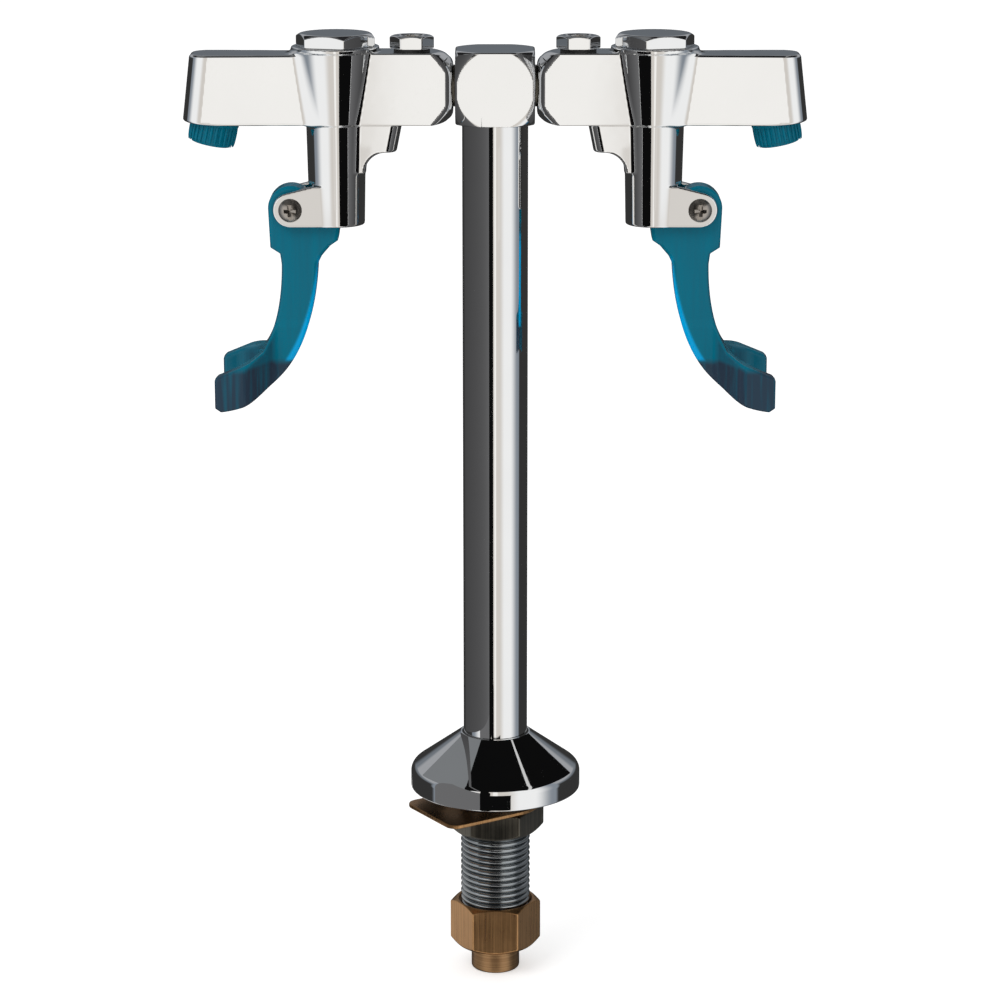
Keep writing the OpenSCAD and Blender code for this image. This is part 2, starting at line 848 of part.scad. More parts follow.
// Hub, heel and curved arm of the lever in side view, X outwards, Y up
module lever_side() {
    pivot = [pivot_x, pivot_z];
    heel = [valve_x + heel_off, heel_z];
    waist = pivot + [2.9, -16.2];
    neck_end = pivot + [8.5, -41.2];
    inner_start = pivot + [-7.6, -16.2];
    tip_low = pivot + [fork_reach - 1.7, -fork_down];
    polygon(concat(
        arc(heel, heel_r, 180, 90, 6),
        [pivot + [-hub_r, 0]],
        arc(pivot, hub_r, 165, 0, 20),
        [pivot + [hub_r - 0.5, -11.4], pivot + [3.3, -13.2], waist],
        curve([waist, waist + [0, -10], neck_end + [-3.8, 6], neck_end], 12),
        [tip_low + [-8, 4 + prong_h], tip_low + [0.8, prong_h + 0.4], tip_low + [1.7, prong_h - 0.6],
         tip_low + [1.7, 1.2], tip_low],
        curve([tip_low, tip_low + [-24.4, 2.6], inner_start + [0.6, -10.4], inner_start], 24),
        [pivot + [-8.8, -13.7], pivot + [-11.3, -10.8], pivot + [-13.5, -9.3]]
    ));
}

// Fork in plan view: the arm's width flares into two prongs
module fork_plan() {
    half = fork_w / 2;
    arm = lever_t / 2;
    gap = half - prong_t;
    tip = fork_reach + cut;
    flare = curve([[4, arm], [7.6, arm + 0.6], [9.6, half - 0.6], [13.6, half]], 12);
    hollow = curve([[fork_reach - 4, gap], [fork_reach - 8, gap], [fork_reach - 12, gap * 0.55],
                    [fork_reach - 12, 0]], 12);
    side = concat([[-14, arm], [4, arm]], flare, [[tip, half], [tip, gap], [fork_reach - 4, gap]], hollow);
    translate([pivot_x, 0])
        polygon(concat(side, [for (i = [len(side) - 2:-1:0]) [side[i][0], -side[i][1]]]));
}

module lever_shape() {
    low = pivot_z - fork_down - 5;
    flare_top = pivot_z - 34;
    arm_in = valve_x - 10;
    difference() {
        intersection() {
            translate([0, fork_w, 0])
                rotate([90, 0, 0])
                    linear_extrude(height = 2 * fork_w)
                        lever_side();
            union() {
                translate([arm_in, -lever_t / 2, low])
                    cube([pivot_x + hub_r + cut - arm_in, lever_t, pivot_z + 2 * hub_r - low]);
                translate([0, 0, low])
                    linear_extrude(height = flare_top - low)
                        fork_plan();
            }
        }
        translate([pivot_x, 0, pivot_z])
            rotate([90, 0, 0])
                cylinder(d = pivot_d + 2 * run_gap, h = lever_t + 2 * cut, center = true);
    }
}

module pivot_screw_shape() {
    dome_r = (pow(head_d / 2, 2) + pow(head_h, 2)) / (2 * head_h);
    recess_w = 1;
    recess_l = 3.4;
    translate([pivot_x, -ears_w / 2, pivot_z])
        rotate([90, 0, 0])
            difference() {
                union() {
                    intersection() {
                        cylinder(d = head_d, h = head_h);
                        translate([0, 0, head_h - dome_r]) sphere(r = dome_r, $fn = 96);
                    }
                    translate([0, 0, -ears_w - 0.6]) cylinder(d = pivot_d, h = ears_w + 0.6);
                }
                for (a = [0, 90])
                    rotate([0, 0, a])
                        translate([-recess_l / 2, -recess_w / 2, head_h - 1.3])
                            cube([recess_l, recess_w, 2]);
            }
}

module packing_nut_shape() {
    translate([flow_x, 0, 0])
        difference() {
            union() {
                hex_bar(packing_af, nut_hex_low, nut_hex_top, 1, 0.3);
                bar(packing_shank_d, nut_shank_low, nut_hex_low + 0.2);
            }
            bar(packing_bore_d, nut_shank_low - cut, nut_hex_top + cut);
        }
}

module nut_seal_shape() {
    translate([flow_x, 0, 0])
        ring(packing_af - 0.7, packing_shank_d + 2 * fit_gap, block_top, nut_hex_low);
}

module flow_screw_shape() {
    slot_t = 1;
    slot_depth = 1.1;
    tip_cone = 1.2;
    translate([flow_x, 0, 0])
        difference() {
            union() {
                translate([0, 0, flow_tip_z])
                    cylinder(d1 = flow_shaft_d - 2 * tip_cone, d2 = flow_shaft_d, h = tip_cone);
                bar(flow_shaft_d, flow_tip_z + tip_cone, flow_head_low);
                bar(flow_head_d, flow_head_low, flow_head_top);
            }
            translate([-flow_head_d, -slot_t / 2, flow_head_top - slot_depth])
                cube([2 * flow_head_d, slot_t, slot_depth + cut]);
            groove(flow_head_d - 1.3, flow_head_d, flow_seal_z, 1.1);
        }
}

module flow_seal_shape() {
    translate([flow_x, 0, 0]) o_ring(flow_head_d - 1.3, packing_bore_d, flow_seal_z);
}

// Moves its children to the outlet tip's seat, tilted, with +Z into the spout
module at_tip() {
    translate([tip_x, 0, tip_z]) rotate([0, -tip_tilt, 0]) children();
}

module outlet_tip_shape() {
    flute_r = PI * tip_d / tip_flutes / 2 * 0.62;
    at_tip()
        difference() {
            union() {
                rotate_extrude()
                    polygon([
                        [0, -tip_h],
                        [tip_d / 2 - 1.4, -tip_h],
                        [tip_d / 2 - 0.4, 0.6 - tip_h],
                        [tip_d / 2, -tip_h / 2],
                        [tip_d / 2, 0],
                        [0, 0]
                    ]);
                bar(tip_spigot_d, -0.2, tip_spigot_h);
            }
            bar(tip_bore_d, -tip_h - cut, screen_seat);
            bar(tip_bore_d - 1.6, -tip_h, tip_spigot_h + cut);
            for (i = [0:tip_flutes - 1])
                rotate([0, 0, 360 * i / tip_flutes])
                    translate([tip_d / 2 + flute_r * 0.35, 0, 0])
                        bar(2 * flute_r, -tip_h - cut, -1.6 * tip_d / 14);
        }
}

module outlet_screen_shape() {
    screen_h = 0.8;
    hole_d = 1.1;
    at_tip()
        translate([0, 0, screen_seat - screen_h])
            difference() {
                cylinder(d = tip_bore_d - 2 * fit_gap, h = screen_h);
                for (k = [0:5])
                    rotate([0, 0, 60 * k])
                        translate([2.2, 0, -cut]) cylinder(d = hole_d, h = screen_h + 2 * cut, $fn = 16);
                translate([0, 0, -cut]) cylinder(d = hole_d, h = screen_h + 2 * cut, $fn = 16);
            }
}

// Arm on the -X side

module left_body() { color(chrome) other_side() body_shape(); }
module left_cap() { color(chrome) at_valve(-1) mirror([1, 0, 0]) cap_shape(); }
module left_cap_seal() { color(rubber) at_valve(-1) cap_seal_shape(); }
module left_spring() { color(steel) at_valve(-1) spring_shape(); }
module left_disc_holder() { color(brass) at_valve(-1) disc_holder_shape(); }
module left_seat_washer() { color(rubber) at_valve(-1) seat_washer_shape(); }
module left_stem() { color(brass) at_valve(-1) stem_shape(); }
module left_stem_seal() { color(rubber) at_valve(-1) stem_seal_shape(); }
module left_lever() { color(teal) other_side() lever_shape(); }
module left_pivot_screw() { color(steel) other_side() pivot_screw_shape(); }
module left_packing_nut() { color(chrome) other_side() packing_nut_shape(); }
module left_nut_seal() { color(rubber) other_side() nut_seal_shape(); }
module left_flow_screw() { color(brass) other_side() flow_screw_shape(); }
module left_flow_seal() { color(rubber) other_side() flow_seal_shape(); }
module left_outlet_tip() { color(teal) other_side() outlet_tip_shape(); }
module left_outlet_screen() { color(steel) other_side() outlet_screen_shape(); }
module left_nipple() { color(brass) other_side() nipple_shape(); }

// Arm on the +X side

module right_body() { color(chrome) body_shape(); }
module right_cap() { color(chrome) at_valve(1) cap_shape(); }
module right_cap_seal() { color(rubber) at_valve(1) cap_seal_shape(); }
module right_spring() { color(steel) at_valve(1) spring_shape(); }
module right_disc_holder() { color(brass) at_valve(1) disc_holder_shape(); }
module right_seat_washer() { color(rubber) at_valve(1) seat_washer_shape(); }
module right_stem() { color(brass) at_valve(1) stem_shape(); }
module right_stem_seal() { color(rubber) at_valve(1) stem_seal_shape(); }
module right_lever() { color(teal) lever_shape(); }
module right_pivot_screw() { color(steel) pivot_screw_shape(); }
module right_packing_nut() { color(chrome) packing_nut_shape(); }
module right_nut_seal() { color(rubber) nut_seal_shape(); }
module right_flow_screw() { color(brass) flow_screw_shape(); }
module right_flow_seal() { color(rubber) flow_seal_shape(); }
module right_outlet_tip() { color(teal) outlet_tip_shape(); }
module right_outlet_screen() { color(steel) outlet_screen_shape(); }
module right_nipple() { color(brass) nipple_shape(); }

tee();
riser();
riser_seal();
flange();
deck_gasket();
shank();
deck_washer();
locknut();
coupling_nut();
tail_washer();
tailpiece();
left_body();
left_cap();
left_cap_seal();
left_spring();
left_disc_holder();
left_seat_washer();
left_stem();
left_stem_seal();
left_lever();
left_pivot_screw();
left_packing_nut();
left_nut_seal();
left_flow_screw();
left_flow_seal();
left_outlet_tip();
left_outlet_screen();
left_nipple();
right_body();
right_cap();
right_cap_seal();
right_spring();
right_disc_holder();
right_seat_washer();
right_stem();
right_stem_seal();
right_lever();
right_pivot_screw();
right_packing_nut();
right_nut_seal();
right_flow_screw();
right_flow_seal();
right_outlet_tip();
right_outlet_screen();
right_nipple();
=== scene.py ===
"""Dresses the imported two-armed glass filler faucet: chrome castings, teal levers, brass deck fittings.

Lengths are millimetres in the classes and become metres when a mesh is made. The origin is the centre
of the flange's underside, +Z is up the riser and the front is -Y. Arms are drawn for the +X side.
"""

import json
import logging
import math
from dataclasses import dataclass, field
from enum import Enum
from functools import cache
from typing import Callable, ClassVar, Sequence

import bpy
import numpy as np
from mathutils import Matrix, Vector

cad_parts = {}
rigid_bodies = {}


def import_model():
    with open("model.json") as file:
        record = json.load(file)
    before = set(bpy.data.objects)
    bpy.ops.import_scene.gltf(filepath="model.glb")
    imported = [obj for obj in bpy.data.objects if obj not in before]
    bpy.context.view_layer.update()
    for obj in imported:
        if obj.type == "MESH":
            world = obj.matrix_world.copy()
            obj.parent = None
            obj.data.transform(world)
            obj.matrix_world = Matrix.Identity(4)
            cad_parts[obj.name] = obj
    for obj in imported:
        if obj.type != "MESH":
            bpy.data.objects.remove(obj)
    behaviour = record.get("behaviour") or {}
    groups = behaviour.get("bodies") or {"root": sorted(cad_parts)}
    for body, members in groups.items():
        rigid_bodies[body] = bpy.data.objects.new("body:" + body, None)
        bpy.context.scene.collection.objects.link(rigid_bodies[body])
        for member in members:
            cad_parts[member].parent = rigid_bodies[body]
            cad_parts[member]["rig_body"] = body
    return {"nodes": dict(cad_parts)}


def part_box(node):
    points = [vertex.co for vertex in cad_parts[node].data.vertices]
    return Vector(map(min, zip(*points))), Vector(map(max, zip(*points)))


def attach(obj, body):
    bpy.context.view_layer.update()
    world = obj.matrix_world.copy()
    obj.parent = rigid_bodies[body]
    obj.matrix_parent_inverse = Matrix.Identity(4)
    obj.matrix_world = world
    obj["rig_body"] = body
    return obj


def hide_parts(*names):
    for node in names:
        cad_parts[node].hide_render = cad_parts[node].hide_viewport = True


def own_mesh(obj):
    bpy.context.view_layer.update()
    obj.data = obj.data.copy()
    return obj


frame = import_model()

LOG = logging.getLogger("faucet")
MM = 0.001
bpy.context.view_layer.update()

Array = np.ndarray
Distance = Callable[[Array], Array]
Pair = tuple[float, float]
Triple = tuple[float, float, float]
Outline = list[Pair]
Bores = tuple[Triple, ...]
Colour = tuple[float, float, float, float]

# What keeps a length, a squared chord and a ramp's span off nought
TINY = 1e-9
SHORTEST = 1e-12
LEAST_SPAN = 1e-6
# Points nearer to the axis than this are poles
AXIS_RADIUS = 1e-6
# Edges sharper than this stay sharp, and corners straighter than this aren't rounded
SHARP_ANGLE = math.radians(35)
STRAIGHT_ANGLE = math.radians(88)
# Rise of the cone that turns off a hexagon's corners
CORNER_SLOPE = 0.6
# Width of a quad of the castings and the levers
BROAD_STEP = 0.38


class Side(Enum):
    """The two arms: left is on the -X side, right on the +X side."""

    LEFT = "left"
    RIGHT = "right"

    def node(self, name: str) -> str:
        """Name of this side's copy of a piece."""
        return f"{self.value}_{name}"

    @property
    def sign(self) -> int:
        """Sign of X on this side."""
        return 1 if self is Side.RIGHT else -1


class Body(Enum):
    """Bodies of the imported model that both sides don't share."""

    COLUMN = "faucet"
    WASHER = "washer_slide"
    LOCKNUT = "locknut_turn"


# Meshes

@dataclass
class Shell:
    """A closed surface in millimetres, with one outward normal a point.

    Attributes:
        points: Array of n points.
        faces: Point numbers of each face, turning left seen from outside.
        normals: Array of n unit normals, or None to shade by the faces.
        layers: Named numbers, one a point, that a material reads.
    """

    points: Array
    faces: Array | list
    normals: Array | None = None
    layers: dict[str, Array] = field(default_factory=dict)

    def mirrored(self) -> "Shell":
        """The same surface on the other side of the YZ plane."""
        flip = np.array([-1.0, 1.0, 1.0])
        faces = [tuple(reversed(face)) for face in self.faces]
        normals = None if self.normals is None else self.normals * flip
        return Shell(self.points * flip, faces, normals, self.layers)

    def on(self, side: Side) -> "Shell":
        """The surface as it stands on one side."""
        return self if side is Side.RIGHT else self.mirrored()

    def mesh(self, name: str) -> bpy.types.Mesh:
        """A mesh of this surface in metres."""
        mesh = bpy.data.meshes.new(name)
        mesh.from_pydata((self.points * MM).tolist(), [], [list(face) for face in self.faces])
        mesh.shade_smooth()
        if self.normals is None:
            mesh.set_sharp_from_angle(angle=SHARP_ANGLE)
        else:
            mesh.normals_split_custom_set_from_vertices(self.normals.tolist())
        for layer, values in self.layers.items():
            attribute = mesh.attributes.new(layer, "FLOAT", "POINT")
            attribute.data.foreach_set("value", values.astype(np.float32))
        return mesh


def arc(centre: Pair, radius: float, start: float, end: float, steps: int) -> Outline:
    """Points of an arc.

    Args:
        centre: Its centre.
        radius: Its radius.
        start: Angle of its first point in degrees.
        end: Angle of its last point in degrees.
        steps: Number of its chords.

    Returns:
        The points in order.
    """
    turns = [math.radians(start + (end - start) * i / steps) for i in range(steps + 1)]
    return [(centre[0] + radius * math.cos(t), centre[1] + radius * math.sin(t)) for t in turns]


def cubic(controls: Sequence[Pair], steps: int) -> Outline:
    """Points on a cubic curve, without its first point."""
    ends = np.array(controls, float)
    points = []
    for i in range(1, steps + 1):
        t = i / steps
        weights = np.array([(1 - t) ** 3, 3 * (1 - t) ** 2 * t, 3 * (1 - t) * t * t, t ** 3])
        points.append(tuple(weights @ ends))
    return points


def soften(corners: Sequence[tuple[float, ...]], steps: int = 5) -> Outline:
    """Rounds the corners of an outline.

    Args:
        corners: Points as (a, b) where the corner stays sharp, or (a, b, radius).
        steps: Number of chords in each rounding.

    Returns:
        The outline's points, with an arc in place of each rounded corner.
    """
    out: Outline = []
    count = len(corners)
    for i, corner in enumerate(corners):
        here = np.array(corner[:2], float)
        radius = corner[2] if len(corner) > 2 else 0.0
        before = np.array(corners[i - 1][:2], float) - here
        after = np.array(corners[(i + 1) % count][:2], float) - here
        before, after = before / np.linalg.norm(before), after / np.linalg.norm(after)
        half = math.acos(max(-1.0, min(1.0, float(before @ after)))) / 2
        if radius <= 0 or half > STRAIGHT_ANGLE:
            out.append(tuple(here))
            continue
        reach = radius / math.tan(half)
        middle = here + (before + after) / np.linalg.norm(before + after) * radius / math.sin(half)
        first, last = here + before * reach - middle, here + after * reach - middle
        sweep = math.atan2(first[0] * last[1] - first[1] * last[0], float(first @ last))
        for k in range(steps + 1):
            turn = sweep * k / steps
            c, s = math.cos(turn), math.sin(turn)
            out.append((middle[0] + c * first[0] - s * first[1], middle[1] + s * first[0] + c * first[1]))
    return out


def lathe(outline: Outline, segments: int = 144) -> Shell:
    """Turns an outline about the Z axis.

    Args:
        outline: Closed outline of (radius, height), left-handed round the solid. Where it
            starts and ends at radius 0 those points become poles.
        segments: Number of steps round the axis.

    Returns:
        The turned surface, whose normals lean to the longer of two neighbouring chords.
    """
    flat = np.array(outline, float)
    solid = flat[0, 0] < AXIS_RADIUS
    ahead = np.roll(flat, -1, 0) - flat
    if solid:
        ahead[-1] = ahead[-2] * 0
    length = np.hypot(ahead[:, 0], ahead[:, 1])[:, None]
    side = np.column_stack([ahead[:, 1], -ahead[:, 0]]) * length ** 2 / np.maximum(length, TINY)
    lean = side + np.roll(side, 1, 0)
    lean /= np.maximum(np.hypot(lean[:, 0], lean[:, 1])[:, None], TINY)
    turn = np.linspace(0, 2 * math.pi, segments, endpoint=False)
    points, normals, first = [], [], []
    for (radius, height), (nr, nz) in zip(flat, lean):
        first.append(len(points))
        if radius < AXIS_RADIUS:
            points.append((0.0, 0.0, height))
            normals.append((0.0, 0.0, math.copysign(1.0, nz)))
            continue
        for c, s in zip(np.cos(turn), np.sin(turn)):
            points.append((radius * c, radius * s, height))
            normals.append((nr * c, nr * s, nz))
    faces = []
    count = len(flat)
    for i in range(count - 1 if solid else count):
        a, b = first[i], first[(i + 1) % count]
        pole_a, pole_b = flat[i, 0] < AXIS_RADIUS, flat[(i + 1) % count, 0] < AXIS_RADIUS
        for j in range(segments):
            k = (j + 1) % segments
            if pole_a:
                faces.append((a, b + k, b + j))
            elif pole_b:
                faces.append((a + j, a + k, b))
            else:
                faces.append((a + j, a + k, b + k, b + j))
    return Shell(np.array(points), faces, np.array(normals))


# Distances: each function gives how far points lie outside a form, negative within it

def round_both(a: Array, b: Array, radius: float) -> Array:
    """What two forms share, with their common edge rounded."""
    if radius <= 0:
        return np.maximum(a, b)
    edge = np.hypot(np.maximum(a + radius, 0), np.maximum(b + radius, 0))
    return np.minimum(np.maximum(a, b), -radius) + edge


def fillet_both(a: Array, b: Array, radius: float) -> Array:
    """Two forms joined, with a hollow fillet between them."""
    return -round_both(-a, -b, radius)


def outline_distance(a: Array, b: Array, outline: Outline) -> Array:
    """Distance to a closed outline in the plane of a and b."""
    best = np.full(a.shape, np.inf)
    inside = np.zeros(a.shape, bool)
    for (a0, b0), (a1, b1) in zip(outline, outline[1:] + outline[:1]):
        da, db = a1 - a0, b1 - b0
        pa, pb = a - a0, b - b0
        along = np.clip((pa * da + pb * db) / max(da * da + db * db, SHORTEST), 0, 1)
        best = np.minimum(best, (pa - along * da) ** 2 + (pb - along * db) ** 2)
        if abs(db) > SHORTEST:
            inside ^= ((b0 > b) != (b1 > b)) & (pa < da / db * pb)
    return np.where(inside, -1.0, 1.0) * np.sqrt(best)


def rod(p: Array, start: Sequence[float], end: Sequence[float], radius: float) -> Array:
    """Distance to a round bar between two points."""
    start, end = np.array(start, float), np.array(end, float)
    length = np.linalg.norm(end - start)
    unit = (end - start) / length
    along = (p - start) @ unit
    out = np.linalg.norm(p - start - along[:, None] * unit, axis=1)
    return np.maximum(out - radius, np.abs(along - length / 2) - length / 2)


def ball(p: Array, centre: Sequence[float], radius: float) -> Array:
    """Distance to a ball."""
    return np.linalg.norm(p - np.array(centre, float), axis=1) - radius


def cone(r: Array, z: Array, low: Pair, top: Pair) -> Array:
    """Distance to the slope of a cone through two (radius, height) points."""
    slope = (top[0] - low[0]) / (top[1] - low[1])
    return (r - low[0] - slope * (z - low[1])) / math.hypot(1, slope)


def hexagon(p: Array, across: float, low: float, high: float, cuts: Pair,
            edge: float, turn: float = 0.0) -> Array:
    """Distance to an upright hexagon bar about the Z axis, its corners turned off at both ends.

    Args:
        p: Points.
        across: Width across its flats.
        low: Height of its bottom.
        high: Height of its top.
        cuts: Share of the corner that is turned off at the top and at the bottom.
        edge: Radius of its edges.
        turn: Its turn in degrees.

    Returns:
        The distance of each point.
    """
    x, y, z = p.T
    r = np.hypot(x, y)
    body = None
    for k in range(3):
        angle = math.radians(30 + 60 * k + turn)
        flat = np.abs(x * math.cos(angle) + y * math.sin(angle)) - across / 2
        body = flat if body is None else round_both(body, flat, edge)
    corner = across / math.cos(math.radians(30)) / 2
    rim = corner - across / 2
    for cut, end in ((cuts[0], z - high), (cuts[1], low - z)):
        turned = ((r - corner + cut * rim) * CORNER_SLOPE + end) / math.hypot(1, CORNER_SLOPE)
        body = round_both(body, turned, edge)
        body = round_both(body, end, edge)
    return body


def skin(distance: Distance, low: Sequence[float], high: Sequence[float], step: float) -> Shell:
    """The surface where a distance is nought, as a net of quads.

    Args:
        distance: Function of the form.
        low: Lowest corner of the space to look in, clear of the form.
        high: Highest corner of that space.
        step: Width of a quad.

    Returns:
        The surface, its points moved onto the form and its normals taken from the form.
    """
    block = 4
    low = np.array(low, float) - step
    counts = np.ceil((np.array(high, float) + step - low) / (step * block)).astype(int)
    rough = [low[i] + step * block * (np.arange(counts[i]) + 0.5) for i in range(3)]
    centres = np.stack(np.meshgrid(*rough, indexing="ij"), -1).reshape(-1, 3)
    coarse = distance(centres).reshape(counts)
    near = np.abs(coarse) < step * block * 1.1
    spread = np.ones((block, block, block))
    values = np.kron(coarse, spread)
    fine = np.argwhere(np.kron(near, spread) > 0)
    values[tuple(fine.T)] = distance(low + step * (fine + 0.5))

    inside = values < 0
    size = np.array(values.shape)
    crossed = np.zeros(size - 1)
    total = np.zeros((*(size - 1), 3))
    corners = [(i, j, k) for i in (0, 1) for j in (0, 1) for k in (0, 1)]

    def corner_view(grid: Array, at: tuple[int, int, int]) -> Array:
        """The grid's values at one corner of every cell."""
        return grid[tuple(slice(o, o + n - 1) for o, n in zip(at, size))]

    for axis in range(3):
        for at in corners:
            if at[axis]:
                continue
            to = tuple(o + (i == axis) for i, o in enumerate(at))
            a, b = corner_view(values, at), corner_view(values, to)
            cut = (a < 0) != (b < 0)
            share = np.where(cut, a / np.where(cut, a - b, 1.0), 0.0)
            crossed += cut
            for i in range(3):
                total[..., i] += cut * (at[i] + (share if i == axis else 0.0))
    mixed = crossed > 0
    number = np.full(mixed.shape, -1)
    number[mixed] = np.arange(mixed.sum())
    cells = np.argwhere(mixed)
    points = low + step * (cells + 0.5 + total[mixed] / crossed[mixed][:, None])

    faces = []
    for axis in range(3):
        u, v = (axis + 1) % 3, (axis + 2) % 3
        first = np.take(inside, range(size[axis] - 1), axis)
        second = np.take(inside, range(1, size[axis]), axis)
        at = np.argwhere(first != second)
        at = at[(at[:, u] > 0) & (at[:, v] > 0) & (at[:, u] < size[u] - 1) & (at[:, v] < size[v] - 1)]
        leaving = first[tuple(at.T)]
        ring = []
        for du, dv in ((0, 0), (-1, 0), (-1, -1), (0, -1)):
            cell = at.copy()
            cell[:, u] += du
            cell[:, v] += dv
            ring.append(number[tuple(cell.T)])
        quad = np.stack(ring, 1)
        faces.append(np.where(leaving[:, None], quad, quad[:, ::-1]))

    def slope(at: Array) -> Array:
        """The distance's gradient at points."""
        small = step * 0.08
        parts = [distance(at + small * e) - distance(at - small * e) for e in np.eye(3)]
        return np.stack(parts, 1) / (2 * small)

    for _ in range(3):
        lean = slope(points)
        move = distance(points)[:, None] * lean / np.maximum((lean ** 2).sum(1, keepdims=True), 0.25)
        reach = np.linalg.norm(move, axis=1, keepdims=True)
        points = points - move * np.minimum(1, 0.5 * step / np.maximum(reach, TINY))
    normals = slope(points)
    normals /= np.maximum(np.linalg.norm(normals, axis=1, keepdims=True), TINY)
    return Shell(points, np.concatenate(faces), normals)


# Node trees

class Graph:
    """Fills a node tree; an input that is given a socket is linked, and any other is its value."""

    def __init__(self, tree: bpy.types.NodeTree) -> None:
        """Keeps the tree to fill."""
        self.tree = tree

    def add(self, kind: str, inputs: dict | None = None, **settings: object) -> bpy.types.Node:
        """Adds one node.

        Args:
            kind: The node's type name.
            inputs: Value or source socket for each input, by its name or number.
            settings: Values of the node's own properties.

        Returns:
            The new node.
        """
        node = self.tree.nodes.new(kind)
        for name, value in settings.items():
            setattr(node, name, value)
        for name, value in (inputs or {}).items():
            self.feed(node, name, value)
        return node

    def feed(self, node: bpy.types.Node, name: str | int, value: object) -> None:
        """Gives one input of a node its value or its source."""
        if isinstance(value, bpy.types.NodeSocket):
            self.tree.links.new(value, node.inputs[name])
        else:
            node.inputs[name].default_value = value

    def maths(self, operation: str, *values: object) -> bpy.types.NodeSocket:
        """The result of a Math node."""
        return self.add("ShaderNodeMath", dict(enumerate(values)), operation=operation).outputs[0]

    def times(self, a: object, b: object) -> bpy.types.NodeSocket:
        """The product of two values."""
        return self.maths("MULTIPLY", a, b)

    def plus(self, a: object, b: object) -> bpy.types.NodeSocket:
        """The sum of two values."""
        return self.maths("ADD", a, b)

    def blend(self, share: object, a: object, b: object) -> bpy.types.NodeSocket:
        """A colour between a and b."""
        return self.add("ShaderNodeMix", {0: share, 6: a, 7: b}, data_type="RGBA").outputs[2]

    def ramp(self, value: object, low: float, high: float, smooth: bool = True) -> bpy.types.NodeSocket:
        """The value carried from low..high to 0..1."""
        kind = "SMOOTHSTEP" if smooth else "LINEAR"
        return self.add("ShaderNodeMapRange", {0: value, 1: low, 2: high}, interpolation_type=kind).outputs[0]

    def place(self) -> bpy.types.NodeSocket:
        """The object's own coordinates."""
        return self.add("ShaderNodeTexCoord").outputs["Object"]

    def noise(self, vector: object, scale: object, detail: float,
              roughness: float = 0.5) -> bpy.types.NodeSocket:
        """The value of a noise texture."""
        return self.add("ShaderNodeTexNoise", {"Vector": vector, "Scale": scale, "Detail": detail,
                                               "Roughness": roughness}).outputs[0]


Sockets = bpy.types.bpy_prop_collection
SOCKETS = {float: "NodeSocketFloat", int: "NodeSocketInt", tuple: "NodeSocketColor"}


def new_group(name: str, tree_kind: str, inputs: dict[str, object],
              outputs: dict[str, str]) -> tuple[Graph, Sockets, Sockets]:
    """Starts a node group with named inputs and outputs.

    Args:
        name: The group's name.
        tree_kind: Type of its tree.
        inputs: Its inputs with their first value, or with a socket type as text.
        outputs: Its outputs with their socket type.

    Returns:
        The group's graph, the sockets that bring its inputs, and those that take its outputs.
    """
    tree = bpy.data.node_groups.new(name, tree_kind)
    for label, value in inputs.items():
        kind = value if isinstance(value, str) else SOCKETS[type(value)]
        socket = tree.interface.new_socket(label, in_out="INPUT", socket_type=kind)
        if not isinstance(value, str):
            socket.default_value = value
    for label, kind in outputs.items():
        tree.interface.new_socket(label, in_out="OUTPUT", socket_type=kind)
    graph = Graph(tree)
    return graph, graph.add("NodeGroupInput").outputs, graph.add("NodeGroupOutput").inputs


@cache
def handling_group() -> bpy.types.NodeTree:
    """Marks of polishing and handling: uneven roughness and a very low swell of the surface."""
    graph, given, out = new_group(
        "handling_marks", "ShaderNodeTree",
        {"Roughness": 0.05, "Spread": 0.04, "Patch": 60.0, "Fine": 900.0},
        {"Roughness": "NodeSocketFloat", "Height": "NodeSocketFloat"})
    place = graph.place()
    broad = graph.noise(place, given["Patch"], 3.0, 0.55)
    fine = graph.noise(place, given["Fine"], 2.0)
    mixed = graph.times(graph.ramp(broad, 0.42, 0.7), graph.ramp(fine, 0.3, 0.75))
    rough = graph.maths("MULTIPLY_ADD", mixed, given["Spread"], given["Roughness"])
    graph.tree.links.new(rough, out["Roughness"])
    graph.tree.links.new(broad, out["Height"])
    return graph.tree


@cache
def streak_group() -> bpy.types.NodeTree:
    """Tool marks drawn out along one direction, with the stains of a bare metal."""
    graph, given, out = new_group(
        "tool_streaks", "ShaderNodeTree",
        {"Light": (1.0, 1.0, 1.0, 1.0), "Dark": (0.0, 0.0, 0.0, 1.0), "Roughness": 0.3, "Spread": 0.1,
         "Across": 2000.0, "Along": 30.0, "Rings": 0.0},
        {"Color": "NodeSocketColor", "Roughness": "NodeSocketFloat", "Height": "NodeSocketFloat"})
    place = graph.place()
    x, y, z = graph.add("ShaderNodeSeparateXYZ", {0: place}).outputs
    radius = graph.maths("SQRT", graph.plus(graph.maths("POWER", x, 2.0), graph.maths("POWER", y, 2.0)))
    rings, across, along = given["Rings"], given["Across"], given["Along"]
    fixed = graph.maths("SUBTRACT", 1.0, rings)
    flat_x, flat_y = (graph.times(graph.times(side, across), fixed) for side in (x, y))
    turned = graph.times(graph.times(radius, across), rings)
    pitch = graph.plus(graph.times(along, fixed), graph.times(across, rings))
    vector = graph.add("ShaderNodeCombineXYZ", {
        0: graph.plus(flat_x, turned), 1: flat_y, 2: graph.times(z, pitch)}).outputs[0]
    streak = graph.noise(vector, 1.0, 3.0, 0.6)
    stain = graph.noise(place, 90.0, 4.0, 0.6)
    share = graph.plus(graph.times(graph.ramp(streak, 0.38, 0.62), 0.65),
                       graph.times(graph.ramp(stain, 0.35, 0.7), 0.35))
    rough = graph.maths("MULTIPLY_ADD", share, given["Spread"], given["Roughness"])
    graph.tree.links.new(graph.blend(share, given["Dark"], given["Light"]), out["Color"])
    graph.tree.links.new(rough, out["Roughness"])
    graph.tree.links.new(streak, out["Height"])
    return graph.tree


# Finishes

BLACK: Colour = (0.0, 0.0, 0.0, 1.0)
